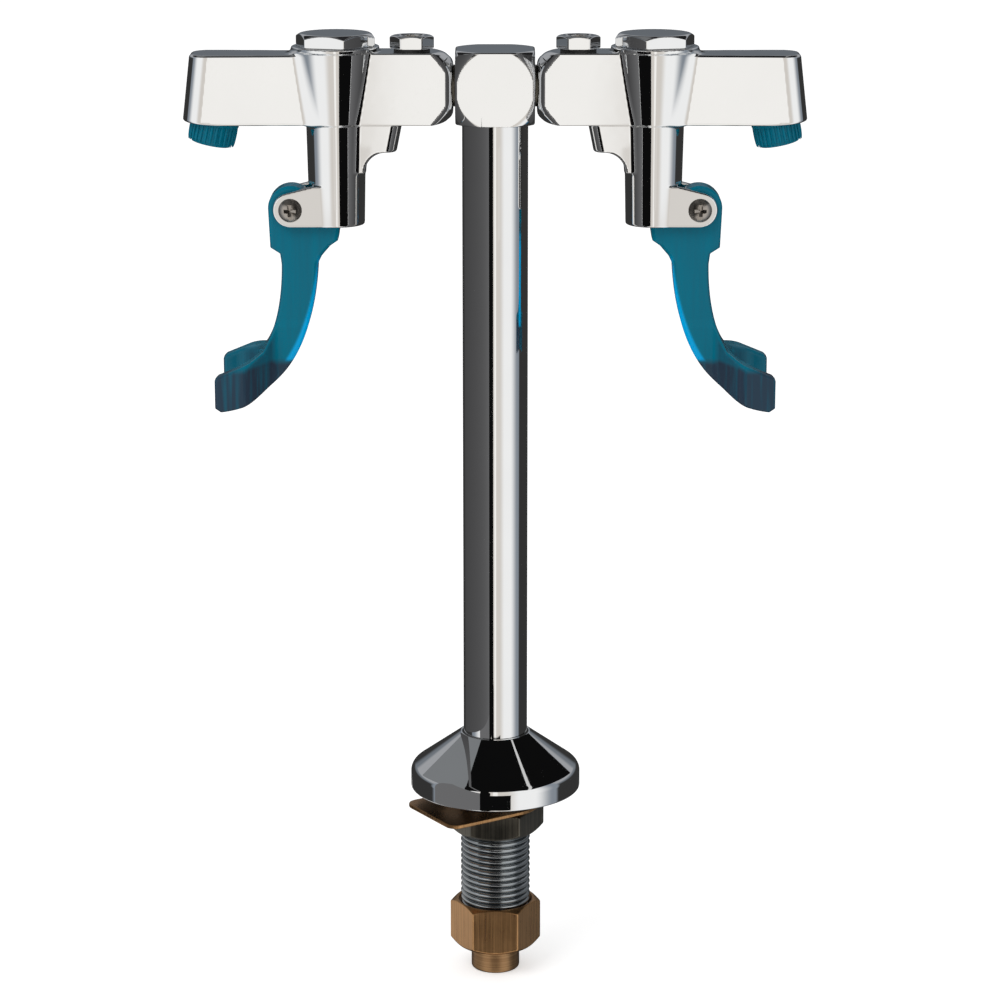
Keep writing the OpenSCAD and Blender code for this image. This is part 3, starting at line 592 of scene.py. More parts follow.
# Heights of the marks of handling and of machining, in metres
SWELL = 0.001
TOOL_SWELL = 0.00005


def shader_of(name: str) -> tuple[bpy.types.Material, Graph, bpy.types.Node]:
    """A new material with its graph and its Principled BSDF."""
    material = bpy.data.materials.new(name)
    material.use_nodes = True
    return material, Graph(material.node_tree), material.node_tree.nodes["Principled BSDF"]


def lay_on(graph: Graph, shader: bpy.types.Node, colour: bpy.types.NodeSocket, marks: Sockets,
           relief: float, swell: float = SWELL) -> None:
    """Joins a finish's colour and marks to its shader.

    Args:
        graph: The material's graph.
        shader: Its Principled BSDF.
        colour: Its colour.
        marks: Its roughness and the height of its marks, by name.
        relief: Strength of the marks' bump.
        swell: Height of the highest mark in metres.
    """
    bump = graph.add("ShaderNodeBump", {"Height": marks["Height"], "Strength": relief, "Distance": swell})
    graph.feed(shader, "Base Color", colour)
    graph.feed(shader, "Roughness", marks["Roughness"])
    graph.feed(shader, "Normal", bump.outputs[0])


@dataclass(frozen=True)
class PlateFinish:
    """A polished or satin plate with marks of handling.

    Attributes:
        name: The material's name.
        slot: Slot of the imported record.
        colour: Its colour.
        metallic: 1 for a metal, 0 for rubber.
        roughness: Its least roughness.
        spread: How much rougher its marks are.
        patch: Patches in a metre.
        relief: Strength of its bump.
    """

    name: str
    slot: str
    colour: Colour
    metallic: float = 1.0
    roughness: float = 0.035
    spread: float = 0.05
    patch: float = 45.0
    relief: float = 0.02

    @cache
    def material(self) -> bpy.types.Material:
        """Builds the material once."""
        material, graph, shader = shader_of(f"{self.name}_finish")
        marks = graph.add("ShaderNodeGroup", {"Roughness": self.roughness, "Spread": self.spread,
                                              "Patch": self.patch}, node_tree=handling_group()).outputs
        shade = graph.maths("MULTIPLY_ADD", marks["Height"], 0.06, 0.96)
        lay_on(graph, shader, graph.blend(shade, BLACK, self.colour), marks, self.relief)
        shader.inputs["Metallic"].default_value = self.metallic
        return material


@dataclass(frozen=True)
class MachinedFinish:
    """A metal with the marks of its machining.

    Attributes:
        name: The material's name.
        slot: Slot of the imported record.
        light: Its colour where it is clean.
        dark: Its colour where it is stained.
        roughness: Its least roughness.
        spread: How much rougher its light parts are.
        rings: 1 where the marks run round the Z axis, 0 where they run along it.
        relief: Strength of its bump.
    """

    name: str
    slot: str
    light: Colour
    dark: Colour
    roughness: float = 0.28
    spread: float = 0.12
    rings: float = 0.0
    relief: float = 0.15

    @cache
    def material(self) -> bpy.types.Material:
        """Builds the material once."""
        material, graph, shader = shader_of(f"{self.name}_finish")
        marks = graph.add("ShaderNodeGroup", {
            "Light": self.light, "Dark": self.dark, "Roughness": self.roughness, "Spread": self.spread,
            "Rings": self.rings}, node_tree=streak_group()).outputs
        lay_on(graph, shader, marks["Color"], marks, self.relief, TOOL_SWELL)
        shader.inputs["Metallic"].default_value = 1.0
        return material


@dataclass(frozen=True)
class TintedPlastic:
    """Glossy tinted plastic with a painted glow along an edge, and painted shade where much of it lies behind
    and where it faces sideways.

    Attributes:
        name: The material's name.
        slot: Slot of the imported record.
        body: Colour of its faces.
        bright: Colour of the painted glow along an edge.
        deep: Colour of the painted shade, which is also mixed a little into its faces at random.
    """

    name: str = "teal_plastic"
    slot: str = "teal_plastic"
    body: Colour = (0.0, 0.155, 0.235, 1.0)
    bright: Colour = (0.0, 0.36, 0.72, 1.0)
    deep: Colour = (0.025, 0.042, 0.068, 1.0)

    @cache
    def material(self) -> bpy.types.Material:
        """Builds the material once."""
        material, graph, shader = shader_of(f"{self.name}_finish")
        marks = graph.add("ShaderNodeGroup", {"Roughness": 0.09, "Spread": 0.1, "Patch": 80.0},
                          node_tree=handling_group()).outputs
        drawn = graph.add("ShaderNodeMapping", {"Vector": graph.place(), "Scale": (700.0, 300.0, 40.0)})
        flow = graph.noise(drawn.outputs[0], 1.0, 2.0)
        # The mesh's two layers bring painted shade and a painted glow along the lever's inner edge
        depth, glow = (graph.add("ShaderNodeAttribute", attribute_name=name).outputs["Fac"]
                       for name in ("depth", "glow"))
        # Streaks lift the painted shade in stripes along the lever
        streaks = graph.times(graph.ramp(flow, 0.45, 0.75), 0.45)
        shade = graph.maths("SUBTRACT", depth, graph.times(depth, streaks))
        tint = graph.blend(graph.times(graph.ramp(flow, 0.2, 0.8), 0.18), self.body, self.deep)
        # The painted glow lies over the painted shade, which lies over the plastic's own tint
        colour = graph.blend(glow, graph.blend(shade, tint, self.deep), self.bright)
        lay_on(graph, shader, colour, marks, 0.03)
        shader.inputs["IOR"].default_value = 1.49
        shader.inputs["Specular IOR Level"].default_value = 0.13
        return material


CHROME = PlateFinish("chrome", "chrome", (0.90, 0.90, 0.895, 1.0))
SCREW_STEEL = PlateFinish("screw_steel", "screw_steel", (0.42, 0.38, 0.34, 1.0), roughness=0.3, spread=0.12)
SPRING_STEEL = PlateFinish("spring_steel", "spring_steel", (0.62, 0.62, 0.61, 1.0), roughness=0.16,
                           spread=0.1)
RUBBER = PlateFinish("rubber", "rubber", (0.022, 0.022, 0.022, 1.0), metallic=0.0, roughness=0.55,
                     spread=0.2, patch=160.0, relief=0.2)
THREAD_STEEL = MachinedFinish("plain_steel", "plain_steel", (0.46, 0.48, 0.49, 1.0),
                              (0.27, 0.29, 0.30, 1.0), roughness=0.16, spread=0.1, rings=1.0)
BRASS = MachinedFinish("brass", "brass", (0.66, 0.47, 0.24, 1.0), (0.48, 0.32, 0.15, 1.0),
                       roughness=0.22, rings=1.0)
RAW_BRASS = MachinedFinish("raw_brass", "raw_brass", (0.60, 0.335, 0.15, 1.0), (0.42, 0.225, 0.095, 1.0),
                           roughness=0.26, relief=0.06)
TURNED_BRASS = MachinedFinish("turned_raw_brass", "raw_brass", (0.46, 0.275, 0.135, 1.0),
                              (0.27, 0.15, 0.07, 1.0), spread=0.14, rings=1.0)
DARK_BRONZE = MachinedFinish("dark_bronze", "dark_bronze", (0.17, 0.155, 0.125, 1.0),
                             (0.09, 0.083, 0.068, 1.0), roughness=0.3, spread=0.15, relief=0.06)
TEAL = TintedPlastic()
Finish = PlateFinish | MachinedFinish | TintedPlastic


def placed(name: str, data: bpy.types.ID) -> bpy.types.Object:
    """A new object in the scene that shows some data."""
    obj = bpy.data.objects.new(name, data)
    bpy.context.scene.collection.objects.link(obj)
    return obj


def present(name: str, form: Shell | bpy.types.Mesh, finish: Finish, body: str,
            *nodes: str) -> bpy.types.Object:
    """Puts one finished piece into the scene.

    Args:
        name: The piece's name.
        form: Its surface or its mesh, in place.
        finish: Its finish.
        body: The CAD body that it rides on.
        nodes: The CAD nodes that it stands for.

    Returns:
        The piece.
    """
    mesh = form.mesh(name) if isinstance(form, Shell) else form
    piece = placed(name, mesh)
    mesh.materials.clear()
    mesh.materials.append(finish.material())
    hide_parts(*nodes)
    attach(piece, body)
    LOG.info("%s: %d faces, on %s", name, len(mesh.polygons), body)
    return piece


def box_of(node: str) -> tuple[Array, Array]:
    """Lowest and highest corner of a CAD node in millimetres."""
    low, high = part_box(node)
    return np.array(low) / MM, np.array(high) / MM


def body_of_node(node: str) -> str:
    """Name of the body that a CAD node rides on."""
    return frame["nodes"][node]["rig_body"]


# What repeats or winds, as geometry nodes

def run_tree(tree: bpy.types.NodeTree, name: str, start: bpy.types.Mesh,
             values: dict[str, object]) -> bpy.types.Mesh:
    """Runs a geometry tree once and keeps its result.

    Args:
        tree: The tree.
        name: Name of the new mesh.
        start: Mesh that goes into the tree.
        values: Values of the tree's named inputs.

    Returns:
        A plain mesh.
    """
    holder = placed(name, start)
    modifier = holder.modifiers.new("Shape", "NODES")
    modifier.node_group = tree
    for socket in tree.interface.items_tree:
        if socket.item_type == "SOCKET" and socket.in_out == "INPUT" and socket.name in values:
            modifier[socket.identifier] = values[socket.name]
    depsgraph = bpy.context.evaluated_depsgraph_get()
    made = bpy.data.meshes.new_from_object(holder.evaluated_get(depsgraph), depsgraph=depsgraph)
    made.name = name
    bpy.data.objects.remove(holder)
    return made


def close_tree(graph: Graph, given: Sockets, out: Sockets, form: bpy.types.Node, place: dict,
               smooth: bool = False) -> bpy.types.NodeTree:
    """Moves what a geometry tree has made, joins it to the tree's input and gives it the material.

    Args:
        graph: The tree's graph.
        given: The tree's inputs.
        out: The tree's outputs.
        form: Node that makes the form.
        place: Inputs of the move, by axis number.
        smooth: Whether the form is shaded smooth.

    Returns:
        The tree.
    """
    shift = graph.add("ShaderNodeCombineXYZ", place).outputs[0]
    moved = graph.add("GeometryNodeTransform", {"Geometry": form.outputs[0], "Translation": shift})
    join = graph.add("GeometryNodeJoinGeometry")
    graph.tree.links.new(given["Geometry"], join.inputs[0])
    graph.tree.links.new(moved.outputs[0], join.inputs[0])
    last = graph.add("GeometryNodeRealizeInstances", {"Geometry": join.outputs[0]})
    if smooth:
        last = graph.add("GeometryNodeSetShadeSmooth", {"Geometry": last.outputs[0]})
    dressed = graph.add("GeometryNodeSetMaterial", {"Geometry": last.outputs[0],
                                                    "Material": given["Material"]})
    graph.tree.links.new(dressed.outputs[0], out[0])
    return graph.tree


@cache
def helix_tree() -> bpy.types.NodeTree:
    """Tree that winds a many-sided section up a helix about the Z axis and joins it to its input."""
    graph, given, out = new_group(
        "wound_section", "GeometryNodeTree",
        {"Geometry": "NodeSocketGeometry", "Turns": 5.0, "Steps": 48, "Radius": 0.01, "Height": 0.01,
         "Base": 0.0, "Sides": 8, "Half Depth": 0.001, "Half Width": 0.001, "Left X": 0.0,
         "Material": "NodeSocketMaterial"},
        {"Geometry": "NodeSocketGeometry"})
    spiral = graph.add("GeometryNodeCurveSpiral", {
        "Resolution": given["Steps"], "Rotations": given["Turns"], "Start Radius": given["Radius"],
        "End Radius": given["Radius"], "Height": given["Height"]})
    upright = graph.add("GeometryNodeSetCurveNormal", {"Curve": spiral.outputs[0]}, mode="Z_UP")
    circle = graph.add("GeometryNodeCurvePrimitiveCircle", {"Resolution": given["Sides"], "Radius": 1.0})
    scale = graph.add("ShaderNodeCombineXYZ", {0: given["Half Depth"], 1: given["Half Width"], 2: 1.0})
    section = graph.add("GeometryNodeTransform", {"Geometry": circle.outputs[0], "Scale": scale.outputs[0]})
    swept = graph.add("GeometryNodeCurveToMesh", {"Curve": upright.outputs[0],
                                                  "Profile Curve": section.outputs[0], "Fill Caps": True})
    return close_tree(graph, given, out, swept, {0: given["Left X"], 2: given["Base"]})


@cache
def ribs_tree() -> bpy.types.NodeTree:
    """Tree that stands upright ribs in a ring about the Z axis and joins them to its input."""
    graph, given, out = new_group(
        "ring_of_ribs", "GeometryNodeTree",
        {"Geometry": "NodeSocketGeometry", "Count": 28, "Ring Radius": 0.01, "Rib Radius": 0.001,
         "Rib Height": 0.005, "Base": 0.0, "Material": "NodeSocketMaterial"},
        {"Geometry": "NodeSocketGeometry"})
    ring = graph.add("GeometryNodeMeshCircle", {"Vertices": given["Count"], "Radius": given["Ring Radius"]})
    rib = graph.add("GeometryNodeMeshUVSphere", {"Segments": 10, "Rings": 8, "Radius": given["Rib Radius"]})
    stretch = graph.maths("DIVIDE", graph.times(given["Rib Height"], 0.5), given["Rib Radius"])
    scale = graph.add("ShaderNodeCombineXYZ", {0: 1.0, 1: 1.0, 2: stretch})
    stood = graph.add("GeometryNodeInstanceOnPoints", {"Points": ring.outputs[0], "Instance": rib.outputs[0],
                                                       "Scale": scale.outputs[0]})
    return close_tree(graph, given, out, stood, {2: given["Base"]}, smooth=True)


# Sub-assemblies

@dataclass(frozen=True)
class SidePiece:
    """A piece that is modelled on the +X side and mirrored to the other.

    Attributes:
        node: Name of its CAD node, without the side.
        piece: Name of its visible piece, without the side.
        finish: Its finish.
        step: Width of a quad of its surface.
    """

    node: ClassVar[str]
    piece: ClassVar[str]
    finish: ClassVar[Finish]
    step: ClassVar[float]

    def distance(self, p: Array) -> Array:
        """Distance to the piece, which each kind works out for itself."""
        raise NotImplementedError

    def layers(self, shell: Shell) -> dict[str, Array]:
        """Numbers that the material reads at the surface's points: none, as a rule."""
        return {}

    @cache
    def shell(self) -> Shell:
        """Its surface, made once for both sides."""
        low, high = box_of(Side.RIGHT.node(self.node))
        shell = skin(self.distance, low, high, self.step)
        shell.layers = self.layers(shell)
        return shell

    def build(self, side: Side) -> None:
        """Makes and dresses one side's piece."""
        node = side.node(self.node)
        present(side.node(self.piece), self.shell().on(side), self.finish, body_of_node(node), node)


@dataclass
class HexPiece:
    """An upright hexagon with its corners turned off, such as a nut or a cap.

    Attributes:
        node: Its CAD node.
        across: Width across its flats.
        cuts: Share of the corner turned off at the top and at the bottom.
        low: Height of the hexagon's bottom, or None for the node's own.
        turn: Its turn in degrees.
        stem: Radius of the round part below the hexagon, or 0.
        holes: Radius, lowest and highest point of each bore.
        mouth: Depth of the chamfer at the top of the first bore.
        edge: Radius of its edges.
        step: Width of a quad.
    """

    node: str
    across: float
    cuts: Pair
    low: float | None = None
    turn: float = 0.0
    stem: float = 0.0
    holes: Bores = ()
    mouth: float = 0.0
    edge: float = 0.22
    step: float = 0.27

    def shell(self) -> Shell:
        """Its surface where the node stands."""
        low, high = box_of(self.node)
        centre = np.array([(low[0] + high[0]) / 2, 0.0, 0.0])
        foot = low[2] if self.low is None else self.low

        def distance(p: Array) -> Array:
            """Distance to the piece."""
            q = p - centre
            r, z = np.hypot(q[:, 0], q[:, 1]), q[:, 2]
            body = hexagon(q, self.across, foot, high[2], self.cuts, self.edge, self.turn)
            if self.stem:
                body = np.minimum(body, np.maximum(r - self.stem, np.maximum(low[2] - z, z - foot - 0.5)))
            for radius, start, end in self.holes:
                body = round_both(body, -np.maximum(r - radius, np.maximum(start - z, z - end)), 0.12)
            if self.mouth:
                flare = (r - self.holes[0][0] - self.mouth + high[2] - z) / math.sqrt(2)
                body = round_both(body, -flare, 0.1)
            return body

        return skin(distance, low, high, self.step)


@dataclass
class Column:
    """The riser, its flange, and the threaded shank that hangs below the deck."""

    bore: float = 11.6
    spigot: float = 15.2
    spigot_rise: float = 4.4
    web_low: float = 8.0
    flange_slope: float = 36.0
    flange_round: float = 3.0
    flange_land: float = 0.8
    flange_play: float = 0.04
    riser_seat: float = 5.0
    gasket_width: float = 5.0
    pitch: float = 1.814
    thread_depth: float = 1.1
    thread_ends: Pair = (1.0, 1.2)
    ridge_share: float = 0.46

    def riser(self) -> Shell:
        """The plain tube with its spigot at the top."""
        low, high = box_of("riser")
        shoulder = high[2] - self.spigot_rise
        r, s, b = high[0], self.spigot / 2, self.bore / 2
        return lathe(soften([(b, low[2]), (r, low[2], 0.2), (r, shoulder, 0.3), (s, shoulder),
                             (s, high[2], 0.3), (b, high[2])]), segments=192)

    def flange(self) -> Shell:
        """The turned cone with a rounded shoulder and a short upright rim."""
        high = box_of("flange")[1]
        riser_r = box_of("riser")[1][0]
        gasket = box_of("deck_gasket")[1]
        rim, top = high[0], riser_r + self.flange_land
        shoulder = high[2] - (rim - top) * math.tan(math.radians(self.flange_slope))
        web, seat, spigot = self.web_low, self.web_low + self.riser_seat, self.spigot / 2
        bore, inner, outer = riser_r + self.flange_play, gasket[0] - self.gasket_width, gasket[0] + 0.03
        return lathe(soften([
            (rim - 0.9, 0.0), (rim, 0.0, 0.5), (rim, shoulder, self.flange_round), (top, high[2], 0.35),
            (bore, high[2]), (bore, seat), (spigot, seat), (spigot, web), (inner, web), (inner, gasket[2]),
            (outer, gasket[2]), (outer, 0.0)], steps=8), segments=240)

    def gasket(self) -> Shell:
        """The flat rubber ring under the flange."""
        high = box_of("deck_gasket")[1]
        r, inner, top = high[0], high[0] - self.gasket_width, high[2]
        return lathe(soften([(inner, 0.0, 0.25), (r, 0.0, 0.25), (r, top, 0.1), (inner, top, 0.1)], steps=3))

    def shank(self) -> bpy.types.Mesh:
        """The threaded tube: a plain core with a helical ridge wound on it."""
        low, high = box_of("shank")
        crest, root = high[0], high[0] - self.thread_depth
        web = self.web_low
        core = lathe(soften([
            (self.bore / 2, low[2], 0.3), (root, low[2], 0.4), (root, web), (self.spigot / 2, web),
            (self.spigot / 2, high[2], 0.4), (self.bore / 2, high[2])], steps=3)).mesh("shank_core")
        start, end = self.thread_ends
        length = web - low[2] - start - end
        return run_tree(helix_tree(), "threaded_shank", core, {
            "Turns": length / self.pitch, "Steps": 72, "Radius": root * MM, "Height": length * MM,
            "Base": (low[2] + start) * MM, "Sides": 10, "Half Depth": (crest - root) * MM,
            "Half Width": self.pitch * self.ridge_share * MM, "Material": THREAD_STEEL.material()})

    def build(self) -> None:
        """Makes and dresses the column's pieces."""
        for name, form, finish, node in (
                ("riser_tube", self.riser(), CHROME, "riser"),
                ("deck_flange", self.flange(), CHROME, "flange"),
                ("flange_gasket", self.gasket(), RUBBER, "deck_gasket"),
                ("threaded_shank", self.shank(), THREAD_STEEL, "shank")):
            present(name, form, finish, Body.COLUMN.value, node)


@dataclass
class DeckFittings:
    """The washer, the nuts and the tailpiece that clamp and feed the column from below."""

    tongue_angle: float = 213.0
    tongue_length: float = 24.0
    tongue_corner: float = 3.6
    washer_width: float = 27.0
    washer_hole: float = 21.56
    thread: float = 20.96
    locknut_across: float = 25.4
    coupling_across: float = 23.8
    tail_bore: float = 10.0
    stub_radius: float = 7.3
    socket: float = 12.74
    socket_depth: float = 7.0
    collar: float = 20.0
    collar_height: float = 1.6

    def washer(self) -> Shell:
        """The stamped brass washer with its square tongue."""
        low, high = box_of("deck_washer")
        half, corner = self.washer_width / 2, self.tongue_corner
        tip = self.tongue_length
        plan = ([(0.0, -half)] + arc((tip - corner, corner - half), corner, -90, 0, 8)
                + arc((tip - corner, half - corner), corner, 0, 90, 8) + [(0.0, half)])
        angle = math.radians(self.tongue_angle)
        middle = (low[2] + high[2]) / 2

        def distance(p: Array) -> Array:
            """Distance to the washer."""
            x, y, z = p.T
            u = x * math.cos(angle) + y * math.sin(angle)
            v = y * math.cos(angle) - x * math.sin(angle)
            r = np.hypot(u, v)
            flat = np.minimum(outline_distance(u, v, plan), r - half)
            flat = round_both(flat, self.washer_hole / 2 - r, 0.2)
            return round_both(flat, np.abs(z - middle) - (high[2] - low[2]) / 2, 0.3)

        return skin(distance, low, high, 0.3)

    def tailpiece(self) -> Shell:
        """The turned stub with a socket for the supply pipe."""
        low, high = box_of("tailpiece")
        outer = self.stub_radius
        neck = high[2] - self.collar_height
        shelf = low[2] + self.socket_depth
        return lathe(soften([
            (self.socket / 2, low[2], 0.25), (outer, low[2], 0.8), (outer, neck), (self.collar / 2, neck),
            (self.collar / 2, high[2], 0.2), (self.tail_bore / 2, high[2]), (self.tail_bore / 2, shelf),
            (self.socket / 2, shelf)]))

    def locknut(self) -> Shell:
        """The nut that clamps the washer."""
        low, high = box_of("locknut")
        bore = (self.thread / 2 + 0.05, low[2] - 1, high[2] + 1)
        return HexPiece("locknut", self.locknut_across, (0.4, 1.6), holes=(bore,), mouth=0.7).shell()

    def coupling(self) -> Shell:
        """The nut that holds the tailpiece under the shank."""
        low, high = box_of("coupling_nut")
        ledge = box_of("tailpiece")[1][2] - self.collar_height
        bores = ((self.thread / 2 + 0.03, ledge, high[2] + 1), (self.stub_radius + 0.03, low[2] - 1, high[2]))
        return HexPiece("coupling_nut", self.coupling_across, (1.1, 1.9), holes=bores, mouth=0.7).shell()

    def build(self) -> None:
        """Makes and dresses the fittings."""
        for name, form, finish, body, node in (
                ("tongued_washer", self.washer(), RAW_BRASS, Body.WASHER, "deck_washer"),
                ("shank_locknut", self.locknut(), DARK_BRONZE, Body.LOCKNUT, "locknut"),
                ("supply_coupling", self.coupling(), RAW_BRASS, Body.COLUMN, "coupling_nut"),
                ("supply_tailpiece", self.tailpiece(), TURNED_BRASS, Body.COLUMN, "tailpiece")):
            present(name, form, finish, body.value, node)


@dataclass
class Tee:
    """The cubic centre block whose corners are turned to a ball."""

    turn_radius: float = 16.8
    spigot: float = 15.26
    spigot_depth: float = 4.5
    bore: float = 11.6
    nipple_bore: float = 7.2
    nipple_thread: float = 12.0
    nipple_grip: float = 3.6
    edge: float = 0.5
    ball_edge: float = 0.9
    hole_edge: float = 0.15

    def distance(self, p: Array) -> Array:
        """Distance to the tee."""
        low, high = box_of("tee")
        x, y, z = p.T
        middle = (low[2] + high[2]) / 2
        half = high[0]
        block = round_both(np.abs(x) - half, np.abs(y) - half, self.edge)
        block = round_both(block, np.abs(z - middle) - (high[2] - low[2]) / 2, self.edge)
        block = round_both(block, ball(p, (0, 0, middle), self.turn_radius), self.ball_edge)
        inlet = rod(p, (0, 0, low[2] - 2), (0, 0, low[2] + self.spigot_depth), self.spigot / 2)
        rise = rod(p, (0, 0, low[2]), (0, 0, middle + self.nipple_bore / 2 + 0.8), self.bore / 2)
        grip, far = half - self.nipple_grip, 2 * half
        holes = np.minimum(inlet, rise)
        for start, end, across in ((-far, far, self.nipple_bore), (grip, far, self.nipple_thread),
                                   (-far, -grip, self.nipple_thread)):
            holes = np.minimum(holes, rod(p, (start, 0, middle), (end, 0, middle), across / 2))
        return round_both(block, -holes, self.hole_edge)

    def build(self) -> None:
        """Makes and dresses the tee."""
        low, high = box_of("tee")
        present("centre_tee", skin(self.distance, low, high, 0.32), CHROME, Body.COLUMN.value, "tee")


@dataclass(frozen=True)
class Casting(SidePiece):
    """The cast arm of the +X side: block, tapered barrel and neck, spout, feed boss and clevis."""

    node = "body"
    piece = "arm_casting"
    finish = CHROME
    step = BROAD_STEP
    arm_x: float = 12.0
    valve_x: float = 45.7
    block_low: float = 200.5
    block_high: float = 221.1
    block_half: float = 7.2
    turned_end: float = 7.9
    turned_slope: float = 1.15
    barrel: Pair = (9.4, 12.0)
    collar: float = 12.6
    collar_low: float = 221.5
    barrel_high: float = 222.6
    neck: Pair = (8.0, 8.6)
    neck_low: float = 171.2
    spout_low: float = 200.5
    spout_high: float = 220.6
    spout_reach: float = 43.9
    spout_lean: float = 6.8
    spout_halves: Pair = (6.5, 8.3)
    spout_corner: float = 5.5
    curl: float = 1.7
    curl_share: float = 0.28
    boss_half: float = 6.0
    boss_reach: float = 17.4
    boss_low: float = 192.6
    boss_hollow: float = 6.0
    ears_half: float = 7.4
    slot_half: float = 4.8
    slot_x: float = 41.7
    slot_roof: float = 183.0
    pivot: Pair = (58.9, 176.2)
    ear: float = 5.0
    mouth: Pair = (8.43, 218.0)
    chambers: Bores = ((7.6, 204.0, 219.0), (3.6, 202.0, 205.0), (5.2, 192.0, 203.0), (3.0, 182.0, 193.0))
    seat: Triple = (4.0, 0.4, 204.6)
    water_z: float = 211.2
    inlet: Pair = (6.0, 3.6)
    passage: float = 2.4
    feed: Pair = (32.5, 197.0)
    flow_x: float = 23.8
    flow_bores: Bores = ((3.0, 209.8, 218.0), (4.28, 216.5, 223.0))
    outlet_run: Pair = (4.0, 210.55)
    tip: Pair = (80.3, 202.06)
    tip_tilt: float = 12.0
    block_corner: float = 2.2
    edge: float = 0.5
    turned_edge: float = 0.9
    boss_corner: float = 3.2
    boss_edge: float = 0.7
    boss_draft: float = 1.8
    arm_fillet: float = 0.7
    boss_fillet: float = 0.8
    slot_edge: float = 0.35
    hole_edge: float = 0.12
    tip_bores: Bores = ((5.58, -1.0, 4.1), (7.03, -7.7, 0.0), (4.0, 0.0, 8.7))
    pivot_bore: float = 2.03

    @property
    def spout_end(self) -> float:
        """X of the spout's end at its underside."""
        return self.valve_x + self.spout_reach

    def block(self, p: Array) -> Array:
        """Distance to the arm's block, its end turned to a cone."""
        x, y, z = p.T
        middle = (self.block_low + self.block_high) / 2
        plan = round_both(self.arm_x - x, np.abs(y) - self.block_half, self.block_corner)
        height = self.block_high - self.block_low
        block = round_both(plan, np.abs(z - middle) - height / 2, self.edge)
        turned = np.hypot(y, z - middle) - self.turned_end - (x - self.arm_x) / self.turned_slope
        block = round_both(block, turned / math.hypot(1, 1 / self.turned_slope), self.turned_edge)
        return np.maximum(block, x - self.valve_x)

    def drum(self, p: Array) -> Array:
        """Distance to the barrel with its collar."""
        x, y, z = p.T
        r = np.hypot(x - self.valve_x, y)
        high = self.collar_low - 0.4
        barrel = cone(r, z, (self.barrel[0], self.block_low), (self.barrel[1], high))
        barrel = round_both(barrel, self.block_low - z, self.edge)
        barrel = np.maximum(barrel, z - self.collar_low)
        neckline = cone(r, z, (self.barrel[1], high), (self.collar, self.collar_low))
        ring = round_both(np.maximum(r - self.collar, neckline), z - self.barrel_high, 0.3)
        return np.minimum(barrel, np.maximum(ring, high - z))

    def shaft(self, p: Array) -> Array:
        """Distance to the neck below the barrel."""
        x, y, z = p.T
        side = cone(np.hypot(x - self.valve_x, y), z, (self.neck[0], self.neck_low),
                    (self.neck[1], self.block_low))
        return np.maximum(round_both(side, self.neck_low - z, 0.6), z - self.block_low - 1)

    def spout(self, p: Array) -> Array:
        """Distance to the spout, which widens to its leaning end."""
        x, y, z = p.T
        lean = math.radians(self.spout_lean)
        near, far = self.spout_halves
        widen = (far - near) / self.spout_reach
        along = (x - self.spout_end) * math.cos(lean) + (z - self.spout_low) * math.sin(lean)
        flank = (np.abs(y) - far - along * widen) / math.hypot(1, widen)
        side = round_both(along, flank, self.spout_corner)
        start = self.spout_end - self.spout_reach * self.curl_share
        share = np.clip((x - start) / (self.spout_end + 2 - start), 0, 1)
        side = round_both(side, self.spout_low + self.curl * share * share - z, 0.6)
        return np.maximum(round_both(side, z - self.spout_high, 0.8), self.valve_x - x)

    def feed_boss(self, p: Array) -> Array:
        """Distance to the boss under the arm, which flows into the neck."""
        x, y, z = p.T
        end, low, top = self.valve_x - self.boss_reach, self.boss_low, self.block_low + 1
        wall = self.valve_x - self.neck[1] + 0.3
        side = ([(self.valve_x, top), (end - 9, top), (end - 9, low)]
                + arc((wall - self.boss_hollow, low - self.boss_hollow), self.boss_hollow, 90, 0, 16)
                + [(self.valve_x, low - self.boss_hollow)])
        slope = self.boss_draft / (top - low)
        face = (end - (z - low) * slope - x) / math.hypot(1, slope)
        plan = round_both(face, np.abs(y) - self.boss_half, self.boss_corner)
        return round_both(outline_distance(x, z, side), plan, self.boss_edge)

    def clevis(self, p: Array) -> Array:
        """Distance to the two ears as one block, without the slot between them."""
        x, y, z = p.T
        crown = (self.pivot[0] - 6.5, self.slot_roof)
        da, db = crown[0] - self.pivot[0], crown[1] - self.pivot[1]
        touch = math.degrees(math.atan2(db, da) - math.acos(self.ear / math.hypot(da, db)))
        side = [(self.valve_x, self.slot_roof), (self.valve_x, self.neck_low)]
        side += arc(self.pivot, self.ear, -90, touch, 4) + [crown]
        eye = np.hypot(x - self.pivot[0], z - self.pivot[1]) - self.ear
        ears = np.minimum(outline_distance(x, z, side), eye)
        return round_both(ears, np.abs(y) - self.ears_half, self.edge)

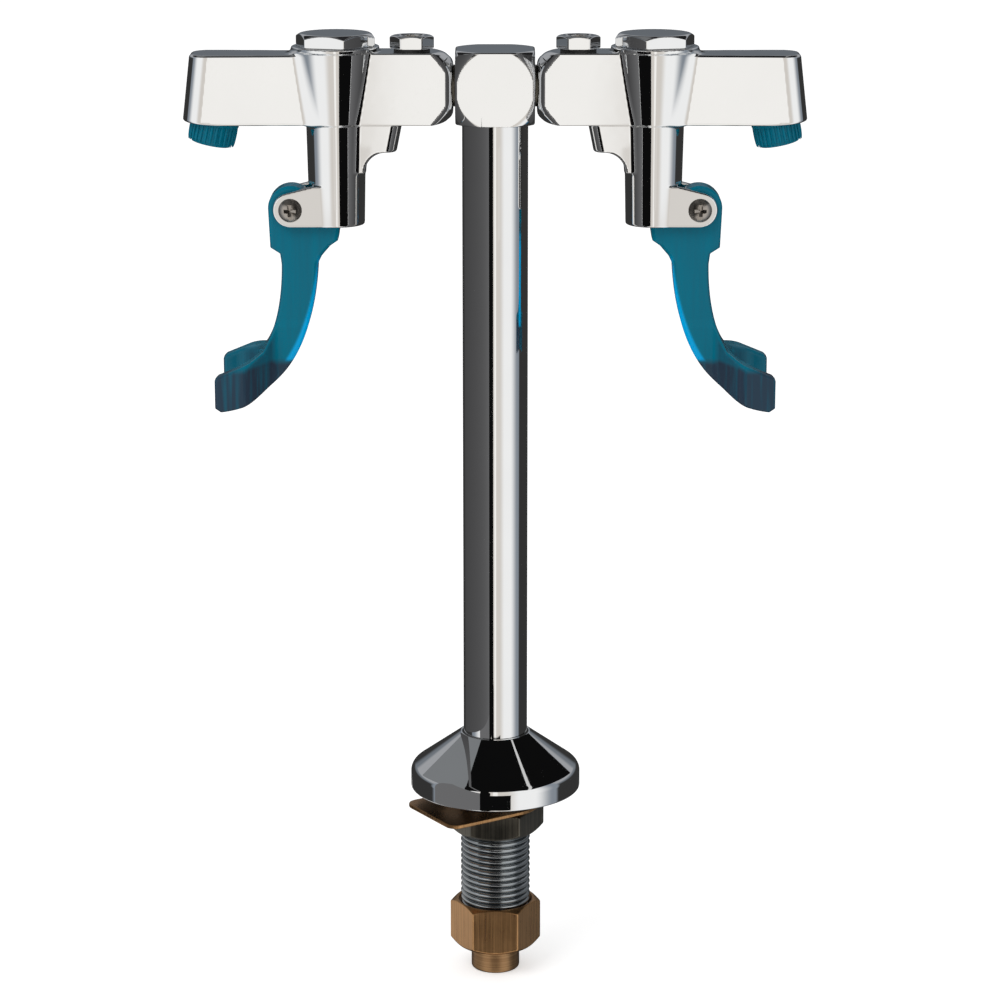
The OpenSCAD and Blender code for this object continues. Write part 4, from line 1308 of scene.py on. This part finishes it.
    def holes(self, p: Array) -> Array:
        """Distance to the chambers, passages and bores."""
        x, y, z = p.T
        r = np.hypot(x - self.valve_x, y)
        water, start, (drop, deep) = self.water_z, self.arm_x, self.feed
        best = np.maximum(r - self.mouth[0], self.mouth[1] - z)
        for radius, low, high in self.chambers:
            best = np.minimum(best, np.maximum(r - radius, np.maximum(low - z, z - high)))
        ring, half, top = self.seat
        best = np.maximum(best, -np.maximum(np.abs(r - ring) - half, z - top))
        tilt = math.radians(self.tip_tilt)
        tip = np.array([self.tip[0], 0.0, self.tip[1]])
        up = np.array([-math.sin(tilt), 0.0, math.cos(tilt)])
        run, level = self.outlet_run
        bars = [((start - 2, 0, water), (start + self.inlet[1], 0, water), self.inlet[0]),
                ((self.valve_x, 0, level), (self.tip[0], 0, level), run),
                ((self.pivot[0], -9, self.pivot[1]), (self.pivot[0], 9, self.pivot[1]), self.pivot_bore)]
        way = ((start, water), (drop, water), (drop, deep), (self.valve_x, deep))
        bars += [((a[0], 0, a[1]), (b[0], 0, b[1]), self.passage) for a, b in zip(way, way[1:])]
        bars += [((self.flow_x, 0, low), (self.flow_x, 0, high), radius)
                 for radius, low, high in self.flow_bores]
        bars += [(tip + low * up, tip + high * up, radius) for radius, low, high in self.tip_bores]
        for low, high, radius in bars:
            best = np.minimum(best, rod(p, low, high, radius))
        return best

    def distance(self, p: Array) -> Array:
        """Distance to the whole casting."""
        x, y, z = p.T
        upper = fillet_both(self.drum(p), self.block(p), self.arm_fillet)
        upper = fillet_both(upper, self.spout(p), self.barrel_high - self.spout_high)
        lower = fillet_both(self.shaft(p), self.feed_boss(p), self.boss_fillet)
        lower = fillet_both(lower, self.clevis(p), self.edge)
        body = fillet_both(upper, lower, 0.4)
        slot = np.maximum(np.abs(y) - self.slot_half, np.maximum(self.slot_x - x, z - self.slot_roof))
        body = round_both(body, -slot, self.slot_edge)
        return round_both(body, -self.holes(p), self.hole_edge)


@dataclass(frozen=True)
class Lever(SidePiece):
    """The push lever of the +X side: a hub, a curved arm and a fork for the glass."""

    node = "lever"
    piece = "push_lever"
    finish = TEAL
    step = BROAD_STEP
    pivot: Pair = (58.9, 176.2)
    bore: float = 2.05
    heel: Triple = (46.2, 171.9, 1.6)
    hub: float = 6.6
    half: float = 4.5
    reach: float = 21.8
    drop: float = 57.0
    lip: float = 10.0
    fork_half: float = 19.0
    prong: float = 5.6
    flare_high: float = 142.2
    edge: float = 1.15
    inner_top: Pair = (-7.6, -16.2)
    waist: Pair = (2.9, -16.2)
    neck: Pair = (8.5, -41.2)
    knee: tuple[Pair, ...] = ((-8.8, -13.7), (-11.3, -10.8), (-13.5, -9.3))
    # Where the painted glow runs along the inner edge, its width there, and the height above which the sides
    # get no painted shade
    glow_heights: Triple = (131.5, 142.0, 163.0)
    glow_widths: Triple = (2.6, 1.9, 0.3)
    shade_high: float = 166.0

    def inner_edge(self) -> Outline:
        """Points of the edge that faces the riser, from the fork up."""
        px, pz = self.pivot
        low = (px + self.reach - 1.7, pz - self.drop)
        start = (px + self.inner_top[0], pz + self.inner_top[1])
        controls = [low, (low[0] - 24.4, low[1] + 2.6), (start[0] + 0.6, start[1] - 10.4), start]
        return [low] + cubic(controls, 32)

    def side_view(self) -> Outline:
        """Outline of the lever seen from the front."""
        px, pz = self.pivot
        low = (px + self.reach - 1.7, pz - self.drop)
        waist, neck, *knee = ((px + a, pz + b) for a, b in (self.waist, self.neck, *self.knee))
        top = self.lip
        return (arc(self.heel[:2], self.heel[2], 180, 90, 8) + [(px - self.hub, pz)]
                + arc(self.pivot, self.hub, 165, 0, 32)
                + [(px + self.hub - 0.5, pz - 11.4), (px + 3.3, pz - 13.2), waist]
                + cubic([waist, (waist[0], waist[1] - 10), (neck[0] - 3.8, neck[1] + 6), neck], 20)
                + [(low[0] - 8, low[1] + 4 + top), (low[0] + 0.8, low[1] + top + 0.4),
                   (low[0] + 1.7, low[1] + top - 0.6), (low[0] + 1.7, low[1] + 1.2)]
                + self.inner_edge() + knee)

    def plan_view(self) -> Outline:
        """Outline of the fork seen from above, from the pivot's X."""
        far, gap, tip = self.fork_half, self.fork_half - self.prong, self.reach + 1
        reach = self.reach
        side = ([(-14.0, self.half), (4.0, self.half)]
                + cubic([(4, self.half), (7.6, self.half + 0.6), (9.6, far - 0.6), (13.6, far)], 16)
                + [(tip, far), (tip, gap), (reach - 4, gap)]
                + cubic([(reach - 4, gap), (reach - 8, gap), (reach - 12, gap * 0.55), (reach - 12, 0)], 16))
        return side + [(a, -b) for a, b in reversed(side[:-1])]

    def distance(self, p: Array) -> Array:
        """Distance to the lever."""
        x, y, z = p.T
        side = outline_distance(x, z, self.side_view())
        fork = round_both(outline_distance(x - self.pivot[0], y, self.plan_view()), z - self.flare_high, 1.0)
        slab = np.maximum(np.abs(y) - self.half, x - self.pivot[0] - self.hub - 1)
        body = round_both(side, fillet_both(slab, fork, 2.0), self.edge)
        bore = np.hypot(x - self.pivot[0], z - self.pivot[1]) - self.bore
        return round_both(body, -bore, 0.15)

    def layers(self, shell: Shell) -> dict[str, Array]:
        """Painted light of the plastic: a painted glow at its inner edge, and painted shade low in the fork,
        most on its near prong, and on faces that turn sideways.
        """
        x, y, z = shell.points.T
        edge = np.array(self.inner_edge())
        inner = np.interp(z, edge[:, 1], edge[:, 0])
        low, bend, high = self.glow_heights
        width = np.interp(z, [low, bend, high], self.glow_widths)
        span = np.clip((z - low) / 0.8, 0, 1) * np.clip((high - z) / 4.0, 0, 1)
        # Painted glow: a bright strip along the edge that faces the riser
        glow = np.clip((inner + width - x) / 0.7, 0, 1) * span
        # Painted shade: darker low in the fork, most on the near prong, and on sideways faces below
        # shade_high
        fork = np.clip((low + 1.0 - z) / 2.0, 0, 1)
        near = np.clip((2.0 - y) / 6.0, 0, 1)
        rim = np.clip(np.abs(shell.normals[:, 0]) - 0.35, 0, 0.5) * (1 - glow)
        depth = np.clip(fork * (0.25 + 0.7 * near) + rim * (z < self.shade_high), 0, 1)
        return {"glow": glow, "depth": depth}


@dataclass(frozen=True)
class PivotScrew(SidePiece):
    """The domed, cross-recessed screw that a lever swings on."""

    node = "pivot_screw"
    piece = "ear_screw"
    finish = SCREW_STEEL
    step = 0.17
    pivot: Pair = (58.9, 176.2)
    face: float = 7.4
    head: float = 3.6
    rise: float = 2.0
    shank: float = 2.0
    end: float = 8.0
    recess: Triple = (1.7, 0.5, 1.3)

    def distance(self, p: Array) -> Array:
        """Distance to the screw."""
        u, v, w = p[:, 0] - self.pivot[0], p[:, 2] - self.pivot[1], -p[:, 1] - self.face
        r = np.hypot(u, v)
        dome = (self.head ** 2 + self.rise ** 2) / (2 * self.rise)
        cap = np.hypot(r, w - self.rise + dome) - dome
        head = round_both(np.maximum(r - self.head, -w), cap, 0.35)
        long, half, deep = self.recess
        taper = (self.rise - w) * 0.18
        floor = self.rise - deep * (1 - 0.7 * r / long) - w
        cross = np.minimum(np.maximum(np.abs(u) - long + taper, np.abs(v) - half + taper * 0.4),
                           np.maximum(np.abs(v) - long + taper, np.abs(u) - half + taper * 0.4))
        head = round_both(head, -np.maximum(cross, floor), 0.12)
        shank = round_both(r - self.shank, -w - self.face - self.end, 0.25)
        return np.minimum(head, np.maximum(shank, w - 0.3))


@dataclass
class Outlet:
    """The fluted tip that stands tilted under a spout's end."""

    place: Pair = (80.3, 202.06)
    tilt: float = 12.0
    height: float = 7.7
    radius: float = 7.0
    core: float = 6.5
    bore: float = 4.2
    flutes: int = 28
    rib: float = 0.46
    collar: float = 1.7
    plug: Pair = (5.55, 4.0)
    throat: Pair = (3.4, 2.6)

    def core_shell(self) -> Shell:
        """The tip without its ribs, upright, with its seat at height 0."""
        low = -self.height
        return lathe(soften([
            (self.bore, low, 0.3), (self.radius - 1.5, low, 0.5), (self.core - 0.15, low + 1.2, 0.5),
            (self.core, -self.collar), (self.radius, -self.collar, 0.2), (self.radius, 0.0, 0.2),
            (self.plug[0], 0.0), (*self.plug, 0.3), (self.throat[0], self.plug[1]), self.throat,
            (self.bore, self.throat[1])]), segments=112)

    def build(self, side: Side) -> None:
        """Makes and dresses one side's tip."""
        name, node = side.node("fluted_tip"), side.node("outlet_tip")
        mesh = run_tree(ribs_tree(), name, self.core_shell().mesh(name), {
            "Count": self.flutes, "Ring Radius": (self.core - 0.02) * MM, "Rib Radius": self.rib * MM,
            "Rib Height": (self.height - 0.2) * MM, "Base": -(self.height - 0.4) / 2 * MM,
            "Material": TEAL.material()})
        place = Matrix.Translation((side.sign * self.place[0] * MM, 0.0, self.place[1] * MM))
        mesh.transform(place @ Matrix.Rotation(math.radians(-self.tilt * side.sign), 4, "Y"))
        present(name, mesh, TEAL, Body.COLUMN.value, node)


@dataclass
class ValveTop:
    """What closes an arm from above: the hexagon cap with its spring, and the packing nut."""

    valve_x: float = 45.7
    cap_across: float = 20.6
    cap_low: float = 222.6
    cap_turn: float = 15.0
    plug: float = 8.4
    pocket: Pair = (4.75, 223.9)
    nut_across: float = 11.1
    nut_low: float = 221.9
    nut_bore: float = 3.45
    nut_stem: float = 4.25
    spring_low: float = 209.6
    spring_radius: float = 3.6
    wire: float = 0.45
    coils: float = 6.0
    held: float = 0.755

    def cap(self) -> Shell:
        """The hexagon cap of the +X side."""
        bore, roof = self.pocket
        low = box_of("right_cap")[0]
        return HexPiece("right_cap", self.cap_across, (1.15, 0.2), low=self.cap_low, turn=self.cap_turn,
                        stem=self.plug, holes=((bore, low[2] - 1, roof),)).shell()

    def nut(self) -> Shell:
        """The packing nut of the +X side."""
        low, high = box_of("right_packing_nut")
        bore = (self.nut_bore, low[2] - 1, high[2] + 1)
        return HexPiece("right_packing_nut", self.nut_across, (1.0, 0.3), low=self.nut_low,
                        stem=self.nut_stem, holes=(bore,), mouth=0.3, step=0.19).shell()

    def spring(self, side: Side) -> None:
        """Makes and dresses one side's valve spring."""
        name, middle = side.node("valve_spring"), side.sign * self.valve_x * MM
        gap = self.wire + 0.02
        low, high = self.spring_low + gap, self.pocket[1] - gap
        mesh = run_tree(helix_tree(), name, bpy.data.meshes.new(name), {
            "Turns": self.coils, "Steps": 40, "Radius": self.spring_radius * MM,
            "Height": (high - low) * MM, "Base": low * MM, "Sides": 10, "Half Depth": self.wire * MM,
            "Half Width": self.wire * MM, "Left X": middle, "Material": SPRING_STEEL.material()})
        piece = present(name, mesh, SPRING_STEEL, Body.COLUMN.value, side.node("spring"))
        side.node("stem_slide")
        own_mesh(piece)

    def build(self) -> None:
        """Makes and dresses both sides."""
        cap, nut = self.cap(), self.nut()
        for side in Side:
            for name, node, shell in (("hexagon_cap", "cap", cap), ("flow_packing_nut", "packing_nut", nut)):
                present(side.node(name), shell.on(side), CHROME, Body.COLUMN.value, side.node(node))
            self.spring(side)


# Tones of the cards
INK, DIM, PALE = ((v, v, v * 1.03, 1.0) for v in (0.004, 0.06, 0.15))
SILVER, LIT, WARM = (0.2, 0.21, 0.22, 1.0), (0.62, 0.62, 0.62, 1.0), (0.72, 0.69, 0.655, 1.0)
# Cards that face sideways: name, X, Y of the near and far edge, heights, both edges' tones, one-sided
UPRIGHT_CARDS = (
    ("riser_line_card", -4.0, (-38, -15), (14.2, 200.3), INK, INK, True),
    ("riser_grey_card", -11.0, (-40, -1), (17.2, 200.3), PALE, DIM, True),
    ("rim_line_card", -5.5, (-60, -27.5), (-30, 20), INK, INK, True),
    ("rim_grey_card", -20.0, (-75, -18), (-30, 20), PALE, PALE, True),
    ("left_barrel_black_card", -12.6, (-150, -34), (225, 100), INK, INK, True),
    ("left_barrel_grey_card", -11.9, (-34, -8), (225, 100), PALE, DIM, True),
    ("right_barrel_black_card", 12.6, (-150, -34), (100, 225), INK, INK, True),
    ("right_barrel_grey_card", 11.9, (-34, -8), (100, 225), PALE, DIM, True),
    ("tee_black_card_0", -12.6, (-150, -34), (199.5, 235), INK, INK, False),
    ("tee_black_card_2", 12.6, (-150, -34), (199.5, 235), INK, INK, False),
    ("tee_grey_card_0", -11.9, (-34, -8), (199.5, 235), PALE, DIM, False),
    ("tee_grey_card_2", 11.9, (-34, -8), (199.5, 235), PALE, DIM, False),
    ("nuts_left_card", -42.0, (-18, 55), (-75, -17), LIT, LIT, False),
    ("nuts_right_card", 42.0, (-18, 55), (-75, -17), SILVER, SILVER, False))
# Level cards round the flange: name, first and last bearing in degrees from the front, tone
CONE_CARDS = (
    ("cone_grey_card", -100, -32, SILVER), ("cone_black_card", -32, 35, INK),
    ("cone_line_card", 35, 39, LIT), ("cone_dark_card", 39, 108, INK))
# Cards that face the front: name, X of the sides, Y of the sides, heights, tone
CROSS_CARDS = (
    ("spout_tone_card_0", (-47, -97), (-300, -300), (116, 152), WARM),
    ("spout_tone_card_2", (47, 97), (-300, -300), (116, 152), WARM),
    ("thread_band_card", (-7.5, 7.5), (-25, -24.99), (-38, -12), DIM),
    ("rim_front_card", (-9, 18), (-60, -59.99), (-19, 1), INK),
    ("nut_band_card", (-16, 16), (-45, -44.99), (-75, -42), PALE))


@dataclass
class Stage:
    """The floor, the light, what the plating mirrors, and the camera.

    Attributes:
        floor_z: Height of the floor in metres.
        floor_reach: Half of its width in metres.
        floor_tone: Its reflectance.
        floor_glow: Its own light to the camera.
        world_dim: Share of the world's light that falls on dull surfaces.
        room: Radius of the mirrored room in metres.
        cone_high: Height of the level cards in millimetres.
        cone_ring: Their inner and outer radius in millimetres.
        key_power: Power of the lamp in watts.
        key_size: Its width in metres.
        key_place: Its place in metres.
        key_aim: The point that it shines at.
        lens: Focal length in millimetres.
        sensor: Width of the sensor in millimetres.
        clip: Nearest and farthest distance that the camera shows, in metres.
        eye: Place of the camera in metres.
        eye_aim: The point that it looks at.
    """

    floor_z: float = -0.0585
    floor_reach: float = 6.0
    floor_tone: float = 0.86
    floor_glow: float = 0.42
    world_dim: float = 0.75
    room: float = 3.0
    cone_high: float = 20.5
    cone_ring: Pair = (10.5, 48)
    key_power: float = 11.0
    key_size: float = 1.1
    key_place: Triple = (-0.9, -1.1, 1.5)
    key_aim: Triple = (0.0, 0.0, 0.1)
    lens: float = 118.8
    sensor: float = 36.0
    clip: Pair = (0.05, 50.0)
    eye: Triple = (0.0014, -0.9459, 0.3297)
    eye_aim: Triple = (0.0014, 0.0, 0.0886)

    def glowing(self, name: str) -> tuple[bpy.types.Material, Graph]:
        """A material whose nodes are still to be added, and its graph."""
        material = bpy.data.materials.new(name)
        material.use_nodes = True
        graph = Graph(material.node_tree)
        graph.tree.nodes.clear()
        return material, graph

    def aimed(self, name: str, data: bpy.types.ID, place: Sequence[float],
              aim: Sequence[float]) -> bpy.types.Object:
        """A lamp or a camera that looks from one place to another."""
        obj = placed(name, data)
        obj.location = place
        obj.rotation_euler = (Vector(aim) - obj.location).to_track_quat("-Z", "Y").to_euler()
        return obj

    def card(self, name: str, corners: Sequence[Triple], near: Colour, far: Colour,
             one_sided: bool = False) -> None:
        """Adds a card that only mirrors see.

        Args:
            name: Its name.
            corners: Its four corners in millimetres, the first and last of them nearest to the camera.
            near: Its light at the edge nearest to the camera.
            far: Its light at the other edge.
            one_sided: Whether it is clear from behind.
        """
        mesh = bpy.data.meshes.new(name)
        mesh.from_pydata([tuple(v * MM for v in corner) for corner in corners], [], [(0, 1, 2, 3)])
        material, graph = self.glowing(name)
        across = graph.add("ShaderNodeSeparateXYZ", {0: graph.place()}).outputs[1]
        share = graph.ramp(across, corners[0][1] * MM, corners[1][1] * MM + LEAST_SPAN, smooth=False)
        colour = graph.blend(share, near, far)
        surface = graph.add("ShaderNodeEmission", {"Color": colour, "Strength": 1.0}).outputs[0]
        if one_sided:
            behind = graph.add("ShaderNodeNewGeometry").outputs["Backfacing"]
            clear = graph.add("ShaderNodeBsdfTransparent").outputs[0]
            surface = graph.add("ShaderNodeMixShader", {0: behind, 1: surface, 2: clear}).outputs[0]
        graph.add("ShaderNodeOutputMaterial", {0: surface})
        self.mirror_only(name, mesh, material)

    def mirror_only(self, name: str, mesh: bpy.types.Mesh, material: bpy.types.Material) -> None:
        """Adds an object to the stage that only glossy rays see."""
        mesh.materials.append(material)
        material.cycles.emission_sampling = "NONE"
        obj = placed(name, mesh)
        obj.visible_camera = obj.visible_diffuse = obj.visible_shadow = False
        obj.visible_transmission = obj.visible_volume_scatter = False

    def tent(self) -> None:
        """A wide room of light: white in front, dim behind, with a dark ceiling and its lamps."""
        mesh = lathe(arc((0.0, 0.0), self.room / MM, -90, 90, 32), segments=64).mesh("mirrored_room")
        material, graph = self.glowing("mirrored_room")
        x, y, z = graph.add("ShaderNodeSeparateXYZ", {0: graph.place()}).outputs
        flat = graph.maths("SQRT", graph.plus(graph.times(x, x), graph.times(y, y)))
        facing = graph.maths("DIVIDE", y, graph.plus(flat, 0.001))
        rise = graph.maths("DIVIDE", z, self.room)
        turn = graph.maths("ABSOLUTE", graph.maths("ARCTAN2", x, graph.times(y, -1.0)))
        front = graph.ramp(facing, 0.12, 0.0)
        behind = (0.035, 0.035, 0.035, 1.0)
        for low, high, tone in ((0.08, 0.24, (0.17, 0.19, 0.215, 1.0)),
                                (0.26, 0.36, (0.36, 0.37, 0.39, 1.0))):
            behind = graph.blend(graph.ramp(rise, low, high), behind, tone)
        ahead = (0.97, 0.955, 0.93, 1.0)
        for low, high, tone in ((0.035, 0.075, (0.68, 0.645, 0.605, 1.0)),
                                (0.25, 0.6, (0.93, 0.935, 0.94, 1.0)),
                                (0.95, 1.5, (0.24, 0.27, 0.31, 1.0))):
            ahead = graph.blend(graph.ramp(turn, low, high), ahead, tone)
        wall = graph.blend(front, behind, ahead)
        panels = graph.ramp(x, 0.1, -0.25)
        off_strip = graph.maths("ABSOLUTE", graph.maths("SUBTRACT", x, 0.75))
        strip = graph.times(graph.ramp(off_strip, 0.12, 0.04), graph.ramp(rise, 0.975, 0.955))
        ceiling = graph.blend(panels, (0.022, 0.022, 0.024, 1.0), (0.16, 0.165, 0.17, 1.0))
        ceiling = graph.blend(strip, ceiling, (0.6, 0.6, 0.6, 1.0))
        dark = (0.014, 0.014, 0.015, 1.0)
        ceiling = graph.blend(graph.ramp(rise, 0.965, 0.985), ceiling, dark)
        overhead = graph.blend(graph.ramp(rise, 0.75, 0.8), dark, ceiling)
        colour = graph.blend(graph.ramp(rise, 0.55, 0.6), wall, overhead)
        glow = graph.add("ShaderNodeEmission", {"Color": colour, "Strength": 1.0})
        graph.add("ShaderNodeOutputMaterial", {0: glow.outputs[0]})
        self.mirror_only("mirrored_room", mesh, material)

    def cards(self) -> None:
        """Cards near the faucet that draw the plating's lines and the tones of its fittings."""
        for name, x, (near, far), (low, high), first, last, one_sided in UPRIGHT_CARDS:
            self.card(name, [(x, near, low), (x, far, low), (x, far, high), (x, near, high)], first, last,
                      one_sided)
        inner, outer = self.cone_ring
        for name, start, end, tone in CONE_CARDS:
            corners = [(reach * math.sin(math.radians(turn)), -reach * math.cos(math.radians(turn)),
                        self.cone_high)
                       for reach, turn in ((inner, start), (inner, end), (outer, end), (outer, start))]
            self.card(name, corners, tone, tone, True)
        for name, (left, right), (near, far), (low, high), tone in CROSS_CARDS:
            self.card(name, [(left, near, low), (right, far, low), (right, far, high), (left, near, high)],
                      tone, tone)

    def floor(self) -> None:
        """A pale floor that keeps the faucet's shadow and reads white to the camera."""
        mesh = bpy.data.meshes.new("pale_floor")
        corners = [(a * self.floor_reach, b * self.floor_reach, self.floor_z)
                   for a, b in ((-1, -1), (1, -1), (1, 1), (-1, 1))]
        mesh.from_pydata(corners, [], [(0, 1, 2, 3)])
        material, graph, shader = shader_of("pale_floor")
        shader.inputs["Base Color"].default_value = (*(self.floor_tone,) * 3, 1.0)
        shader.inputs["Roughness"].default_value = 1.0
        shader.inputs["Specular IOR Level"].default_value = 0.0
        seen = graph.add("ShaderNodeLightPath").outputs["Is Camera Ray"]
        shader.inputs["Emission Color"].default_value = (1.0, 1.0, 1.0, 1.0)
        graph.feed(shader, "Emission Strength", graph.times(seen, self.floor_glow))
        mesh.materials.append(material)
        floor = placed("pale_floor", mesh)
        floor.visible_glossy = False

    def light(self) -> None:
        """The world and one soft key."""
        world = bpy.data.worlds.new("pale_world")
        bpy.context.scene.world = world
        world.use_nodes = True
        graph = Graph(world.node_tree)
        graph.tree.nodes.clear()
        path = graph.add("ShaderNodeLightPath").outputs
        seen = graph.maths("MAXIMUM", path["Is Camera Ray"],
                           graph.maths("MAXIMUM", path["Is Glossy Ray"], path["Is Transmission Ray"]))
        strength = graph.maths("MULTIPLY_ADD", seen, 1.0 - self.world_dim, self.world_dim)
        back = graph.add("ShaderNodeBackground", {"Color": (1.0, 1.0, 1.0, 1.0), "Strength": strength})
        graph.add("ShaderNodeOutputWorld", {0: back.outputs[0]})
        lamp = bpy.data.lights.new("soft_key", "AREA")
        lamp.energy, lamp.size, lamp.shape = self.key_power, self.key_size, "DISK"
        self.aimed("soft_key", lamp, self.key_place, self.key_aim).visible_glossy = False

    def camera(self) -> None:
        """The photograph's camera."""
        data = bpy.data.cameras.new("photo_camera")
        data.lens, data.sensor_width = self.lens, self.sensor
        data.clip_start, data.clip_end = self.clip
        bpy.context.scene.camera = self.aimed("photo_camera", data, self.eye, self.eye_aim)

    def build(self) -> None:
        """Sets up all of the stage."""
        bpy.context.scene.view_settings.view_transform = "Standard"
        self.floor()
        self.tent()
        self.cards()
        self.light()
        self.camera()


def dress_cad_nodes() -> None:
    """Gives the CAD nodes that stay their procedural finishes by record slot, but the nipples dark bronze as
    painted shade of the gap that they sit in.
    """
    finishes = {finish.slot: finish for finish in (
        CHROME, SCREW_STEEL, SPRING_STEEL, RUBBER, THREAD_STEEL, RAW_BRASS, BRASS, DARK_BRONZE, TEAL)}
    for obj in frame["nodes"].values():
        for entry in obj.material_slots:
            slot = entry.material.name.split(".")[0] if entry.material else ""
            # The nipples are brass; dark bronze paints the shade of the gap between the tee and the arms onto
            # them
            finish = DARK_BRONZE if "nipple" in obj.name else finishes.get(slot, CHROME)
            entry.material = finish.material()


def main() -> None:
    """Builds the faucet's sub-assemblies, the stage and the camera, in that order."""
    logging.basicConfig(level=logging.INFO, format="%(message)s")
    Column().build()
    DeckFittings().build()
    Tee().build()
    for kind in (Casting(), Lever(), PivotScrew(), Outlet()):
        for side in Side:
            kind.build(side)
    ValveTop().build()
    Stage().build()
    dress_cad_nodes()


if __name__ == "__main__":
    main()
